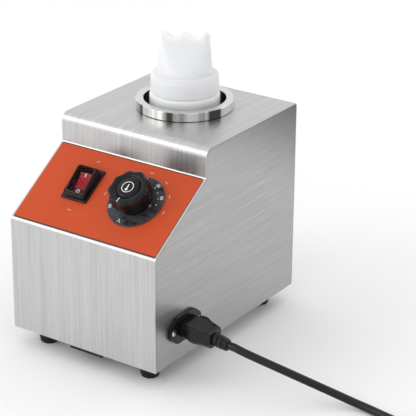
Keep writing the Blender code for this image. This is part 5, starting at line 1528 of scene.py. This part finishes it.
# %% [markdown]
# ## The rocker
# The rocker is a shallow V seen from the side, and its lower end is pressed in at rest. A box is cut
# across at five lines, and each row of its points is moved to its own height. Two more cuts along it
# and two across mark out the red lens. The I and O are raised at its ends.

# %% Rocker
ROCKER_WIDE, ROCKER_LONG = 0.0175, 0.026
ROCKER_TILT = math.radians(10)
LENS_WIDE = 0.0066
LENS_ENDS = (-0.0057, 0.0105)
ROCKER_TOP, ROCKER_FOOT = 0.0040, -0.0010
BENDS = ((0.0, 0.0035, -0.0055), (0.45, 0.0038, -0.0042), (0.9, 0.0046, -0.0014), (1.0, 0.0022, -0.0010))
ROW_REACH = 0.0001

rocker_size = (ROCKER_WIDE, ROCKER_LONG, ROCKER_TOP - ROCKER_FOOT)
rocker = block("rocker_paddle", rocker_size, (0, 0, (ROCKER_TOP + ROCKER_FOOT) / 2))
open_mesh(rocker, "EDGE")
half = ROCKER_LONG / 2


def slice_at(place, axis):
    """Cut the whole open mesh at a plane through a place, square to an axis."""
    pick_all()
    bpy.ops.mesh.bisect(plane_co=place, plane_no=axis)


def move_row(share, old, new):
    """Move the rocker's points at this share of its half length from the old height to the new one."""

    def in_row(vertex):
        along = abs(vertex.co.y)
        return abs(along - share * half) < ROW_REACH and abs(vertex.co.z - old) < WELD

    pick(rocker, "verts", in_row)
    bpy.ops.transform.translate(value=(0, 0, new - old))


for share in (-0.9, -0.45, 0.0, 0.45, 0.9):
    slice_at((0, share * half, 0), (0, 1, 0))
for across in (-LENS_WIDE, LENS_WIDE):
    slice_at((across, 0, 0), (1, 0, 0))
bpy.ops.mesh.select_mode(type="VERT")
for share, top, foot in BENDS:
    move_row(share, ROCKER_TOP, top)
    move_row(share, ROCKER_FOOT, foot)
bpy.ops.mesh.select_mode(type="EDGE")
for along in LENS_ENDS:
    slice_at((0, along, 0), (0, 1, 0))
close_mesh()
soften(rocker, 0.0004, 3, math.radians(30))
fit(rocker, body_black, "rocker", "red_lens", "rocker")


def on_lens(face):
    in_width = abs(face.center.x) < LENS_WIDE
    return in_width and LENS_ENDS[0] < face.center.y < LENS_ENDS[1] and face.normal.z > FACES_ALONG


paint(rocker, red_lens, on_lens)
rocker_place = ON_SWITCH @ Matrix.Rotation(ROCKER_TILT, 4, "X")
set_down(rocker, rocker_place)

MARK_UP, MARK_Z, MARK_LEAN = 0.0088, 0.0045, math.radians(7)
MARK_THICK = 0.0003
STROKE_WIDE, STROKE_LONG = 0.0011, 0.0042
CIRCLE_R, CIRCLE_LINE = 0.0021, 0.0009
stroke_size = (STROKE_WIDE, STROKE_LONG, MARK_THICK)
stroke = block("stroke", stroke_size, (0, MARK_UP, MARK_Z), turn=(MARK_LEAN, 0, 0))
circle = flat_ring("circle", CIRCLE_R, CIRCLE_LINE, MARK_THICK, 48)
set_down(circle, Matrix.Translation((0, -MARK_UP, MARK_Z - 0.0001)) @ Matrix.Rotation(-MARK_LEAN, 4, "X"))
symbols = join("rocker_symbols", [stroke, circle])
set_down(symbols, rocker_place)
fit(symbols, print_white, "rocker", "red_lens")

# %% [markdown]
# ## The splash boot
# A soft frame seals the switch against splashes: a black skirt with two steps, and over the rocker a
# clear raised cap with rounded edges. The skirt and the cap are two shells, each grown from a rounded
# box outline and given a wall.

# %% Boot skirt and clear cap
BOOT_WIDE, BOOT_LONG = 0.0255, 0.0348
BOOT_LOW = SWITCH_TOP + 0.0002
BOOT_TOP, BOOT_LEAN, SKIRT_LEAN = 0.0096, 0.147, 0.35
BOOT_CORNER, CAP_CORNER = 0.0036, 0.0032
CAP_WIDE, CAP_LONG = BOOT_WIDE - 0.0020, BOOT_LONG - 0.0034
CAP_WALL_THICK = 0.0007


def lean_top(obj, above_z, lean):
    """Raise what lies above a height towards one end, as the rocker's raised end does to the boot."""
    for vertex in obj.data.vertices:
        if vertex.co.z > above_z:
            vertex.co.z += lean * vertex.co.y


skirt = box_outline("boot_skirt", BOOT_WIDE, BOOT_LONG, BOOT_CORNER, 6)
grow(skirt, (BOOT_WIDE, BOOT_LONG), [
    (BOOT_WIDE, BOOT_LONG, BOOT_LOW),
    (BOOT_WIDE, BOOT_LONG, BOOT_LOW + 0.0012),
    (BOOT_WIDE - 0.0008, BOOT_LONG - 0.0012, BOOT_LOW + 0.0018),
    (BOOT_WIDE - 0.0008, BOOT_LONG - 0.0014, BOOT_LOW + 0.0030),
    (BOOT_WIDE - 0.0002, BOOT_LONG - 0.0008, BOOT_LOW + 0.0034),
    (BOOT_WIDE - 0.0002, BOOT_LONG - 0.0008, BOOT_LOW + 0.0041),
    (BOOT_WIDE - 0.0010, BOOT_LONG - 0.0018, BOOT_LOW + 0.0046),
    (CAP_WIDE + 0.0001, CAP_LONG + 0.0001, BOOT_LOW + 0.0046),
    (CAP_WIDE + 0.0001, CAP_LONG + 0.0001, BOOT_LOW),
], ends="join")
lean_top(skirt, BOOT_LOW + 0.0025, BOOT_LEAN * SKIRT_LEAN)
soften(skirt, 0.0003, 3, math.radians(25))
set_down(skirt, ON_SWITCH)
fit(skirt, body_black, "housing", "clear_boot")

clear_cap = box_outline("boot_cap", CAP_WIDE, CAP_LONG, CAP_CORNER, 8)
grow(clear_cap, (CAP_WIDE, CAP_LONG), [
    (CAP_WIDE - 0.0002, CAP_LONG - 0.0002, BOOT_LOW + 0.0004),
    (CAP_WIDE - 0.0002, CAP_LONG - 0.0002, BOOT_TOP - 0.0018),
    (CAP_WIDE - 0.0005, CAP_LONG - 0.0005, BOOT_TOP - 0.0010),
    (CAP_WIDE - 0.0012, CAP_LONG - 0.0014, BOOT_TOP - 0.0004),
    (CAP_WIDE - 0.0022, CAP_LONG - 0.0026, BOOT_TOP - 0.0001),
    (CAP_WIDE - 0.0034, CAP_LONG - 0.0038, BOOT_TOP - 0.0001),
    (CAP_WIDE - 0.0040, CAP_LONG - 0.0044, BOOT_TOP),
], ends="open")
open_mesh(clear_cap, "EDGE")
pick(clear_cap, "edges", lambda e: e.is_boundary and middle(e).z > BOOT_TOP - WELD)
bpy.ops.mesh.edge_face_add()
face_outwards()
close_mesh()
if max(clear_cap.data.polygons, key=lambda f: f.center.z).normal.z < 0:
    clear_cap.data.flip_normals()
use(clear_cap, "SOLIDIFY", thickness=CAP_WALL_THICK, offset=-1.0)
shade(clear_cap, SOFT_SHADE)
fit(clear_cap, boot_rim, "housing", "clear_boot", "switch_boot")


def in_window(face):
    at_top = abs(face.normal.z) > 0.99 and face.center.z > BOOT_TOP - 0.002
    return at_top and abs(face.center.x) < 0.002


paint(clear_cap, boot_window, in_window)
lean_top(clear_cap, BOOT_LOW + 0.0030, BOOT_LEAN)
set_down(clear_cap, ON_SWITCH)

# %% [markdown]
# ## Marks on the film
# Round the dial, and above and below the switch, the film carries small marks. They are short strokes
# of pale ink, in one piece.

# %% Film marks
DIAL_MARKS = ((-90, 0.0365), (-4, 0.0350), (32, 0.0338), (63, 0.0332), (95, 0.0338))
SWITCH_MARKS = ((-0.0324, 0.0844), (-0.0301, 0.0253))
DIAL_MARK, SWITCH_MARK = (0.0040, 0.0009, INK), (0.0034, 0.0009, INK)

marks = []
for degrees, reach in DIAL_MARKS:
    place = at_angle(math.radians(degrees), reach, FILM_TOP)
    marks.append(block("mark", DIAL_MARK, (0, 0, INK), ON_SLOPE @ place))
for mark_x, mark_y in SWITCH_MARKS:
    marks.append(block("mark", SWITCH_MARK, (mark_x, mark_y, FILM_TOP + INK), ON_SLOPE))
film_marks = join("film_marks", marks)
fit(film_marks, print_grey, "housing", "orange_film")

# %% [markdown]
# ## The vent
# Under the front edge hangs a black louvred cover. It is a shallow box with slots cut through,
# softened.

# %% Base vent
low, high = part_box("base_vent")
size, centre = high - low, (high + low) / 2
vent = block("louvre_cover", size, centre)
SLITS = 6
SLIT_SPAN, SLIT_WIDE, SLIT_LONG = 0.66, 0.06, 0.7
slit_size = (size.x * SLIT_LONG, size.y * SLIT_WIDE, THROUGH)
for i in range(SLITS):
    along = centre.y + size.y * SLIT_SPAN * (i / (SLITS - 1) - 0.5)
    cut(vent, block("slit", slit_size, (centre.x, along, centre.z)))
soften(vent, 0.0004, 3)
fit(vent, body_black, "housing", "black_plastic", "base_vent")

# %% [markdown]
# ## The parts that stay
# The rest of the parts keep their own shape. Each gets the finish that its record names.

# %% Finishes of the kept parts
FINISH_OF_SLOT = {
    "brushed_stainless": side_steel,
    "polished_stainless": screw_steel,
    "galvanised_steel": zinc,
    "orange_film": orange_film,
    "black_plastic": body_black,
    "grey_plastic": bezel_grey,
    "black_rubber": rubber_black,
    "red_lens": red_lens,
    "clear_boot": boot_rim,
    "milky_plastic": milky,
    "silicone": silicone,
    "glass_wool": wool,
    "copper": copper,
    "brass": brass,
    "wire_red": wire_red,
    "wire_blue": wire_blue,
    "wire_green": wire_green,
}
for part in frame["record"]["subparts"]:
    obj = frame["nodes"][part["node"]]
    for index in range(len(obj.material_slots)):
        obj.material_slots[index].material = FINISH_OF_SLOT[part["material_slot"]]
print("kept parts with a finish:", sum(not o.hide_render for o in frame["nodes"].values()))

# %% [markdown]
# ## Floor and light
# A plain pale floor runs on behind the object. The world is a soft gradient, brighter on the left, in
# front and low down than on the right, behind and above, because bare steel shows nothing but what it
# reflects: an even white room would make it look like grey paper. A large softbox at the front left
# gives the shadows their direction, and a weak one behind lifts the far edges.

# %% Floor
FLOOR_SIZE, FLOOR_DROP = 14.0, 0.0002
FLOOR_DARK, FLOOR_LIGHT = (0.94, 0.94, 0.94), (0.96, 0.96, 0.96)
bpy.ops.mesh.primitive_plane_add(size=FLOOR_SIZE, location=(0, 0, -FLOOR_DROP))
floor = newest("floor")
floor_finish = Finish("floor_paint", 0.9, 0.0, {"Specular IOR Level": 0.1})
floor_finish.feed("Base Color", floor_finish.blend(floor_finish.noise(3.0, 2.0), FLOOR_DARK, FLOOR_LIGHT))
floor.data.materials.append(floor_finish.material)

# %% Light
BRIGHT_SIDE = (-0.50, -0.45, -0.45)
DIM_AT, DIM_WHITE = 0.10, (0.62, 0.62, 0.63, 1)
FULL_AT, FULL_WHITE = 0.80, (1.0, 1.0, 1.0, 1)
ROOM_STRENGTH = 1.27
world = bpy.data.worlds.new("studio")
bpy.context.scene.world = world
world.use_nodes = True
tree = world.node_tree
coordinates = tree.nodes.new("ShaderNodeTexCoord")
facing = tree.nodes.new("ShaderNodeVectorMath")
facing.operation = "DOT_PRODUCT"
facing.inputs[1].default_value = BRIGHT_SIDE
ramp = tree.nodes.new("ShaderNodeValToRGB")
stops = zip(ramp.color_ramp.elements, (DIM_AT, FULL_AT), (DIM_WHITE, FULL_WHITE))
for stop, position, colour in stops:
    stop.position = position
    stop.color = colour
shift = tree.nodes.new("ShaderNodeMath")
shift.operation = "MULTIPLY_ADD"
shift.inputs[1].default_value = 0.5
shift.inputs[2].default_value = 0.5
tree.links.new(coordinates.outputs["Generated"], facing.inputs[0])
tree.links.new(facing.outputs["Value"], shift.inputs[0])
tree.links.new(shift.outputs[0], ramp.inputs["Fac"])
tree.links.new(ramp.outputs["Color"], tree.nodes["Background"].inputs["Color"])
tree.nodes["Background"].inputs["Strength"].default_value = ROOM_STRENGTH


def softbox(name, place, aim, size, power):
    light = bpy.data.objects.new(name, bpy.data.lights.new(name, "AREA"))
    light.data.shape = "RECTANGLE"
    light.data.size, light.data.size_y = size
    light.data.energy = power
    light.location = place
    light.rotation_euler = (Vector(aim) - Vector(place)).to_track_quat("-Z", "Y").to_euler()
    bpy.context.scene.collection.objects.link(light)


SOFTBOX_SIZE = (1.6, 1.2)
KEY_WATTS, REAR_WATTS = 12, 4
softbox("key", (-1.5, -1.9, 1.5), (0, 0, 0.12), SOFTBOX_SIZE, KEY_WATTS)
softbox("rear", (0.6, 1.6, 1.8), (0, 0, 0.2), SOFTBOX_SIZE, REAR_WATTS)
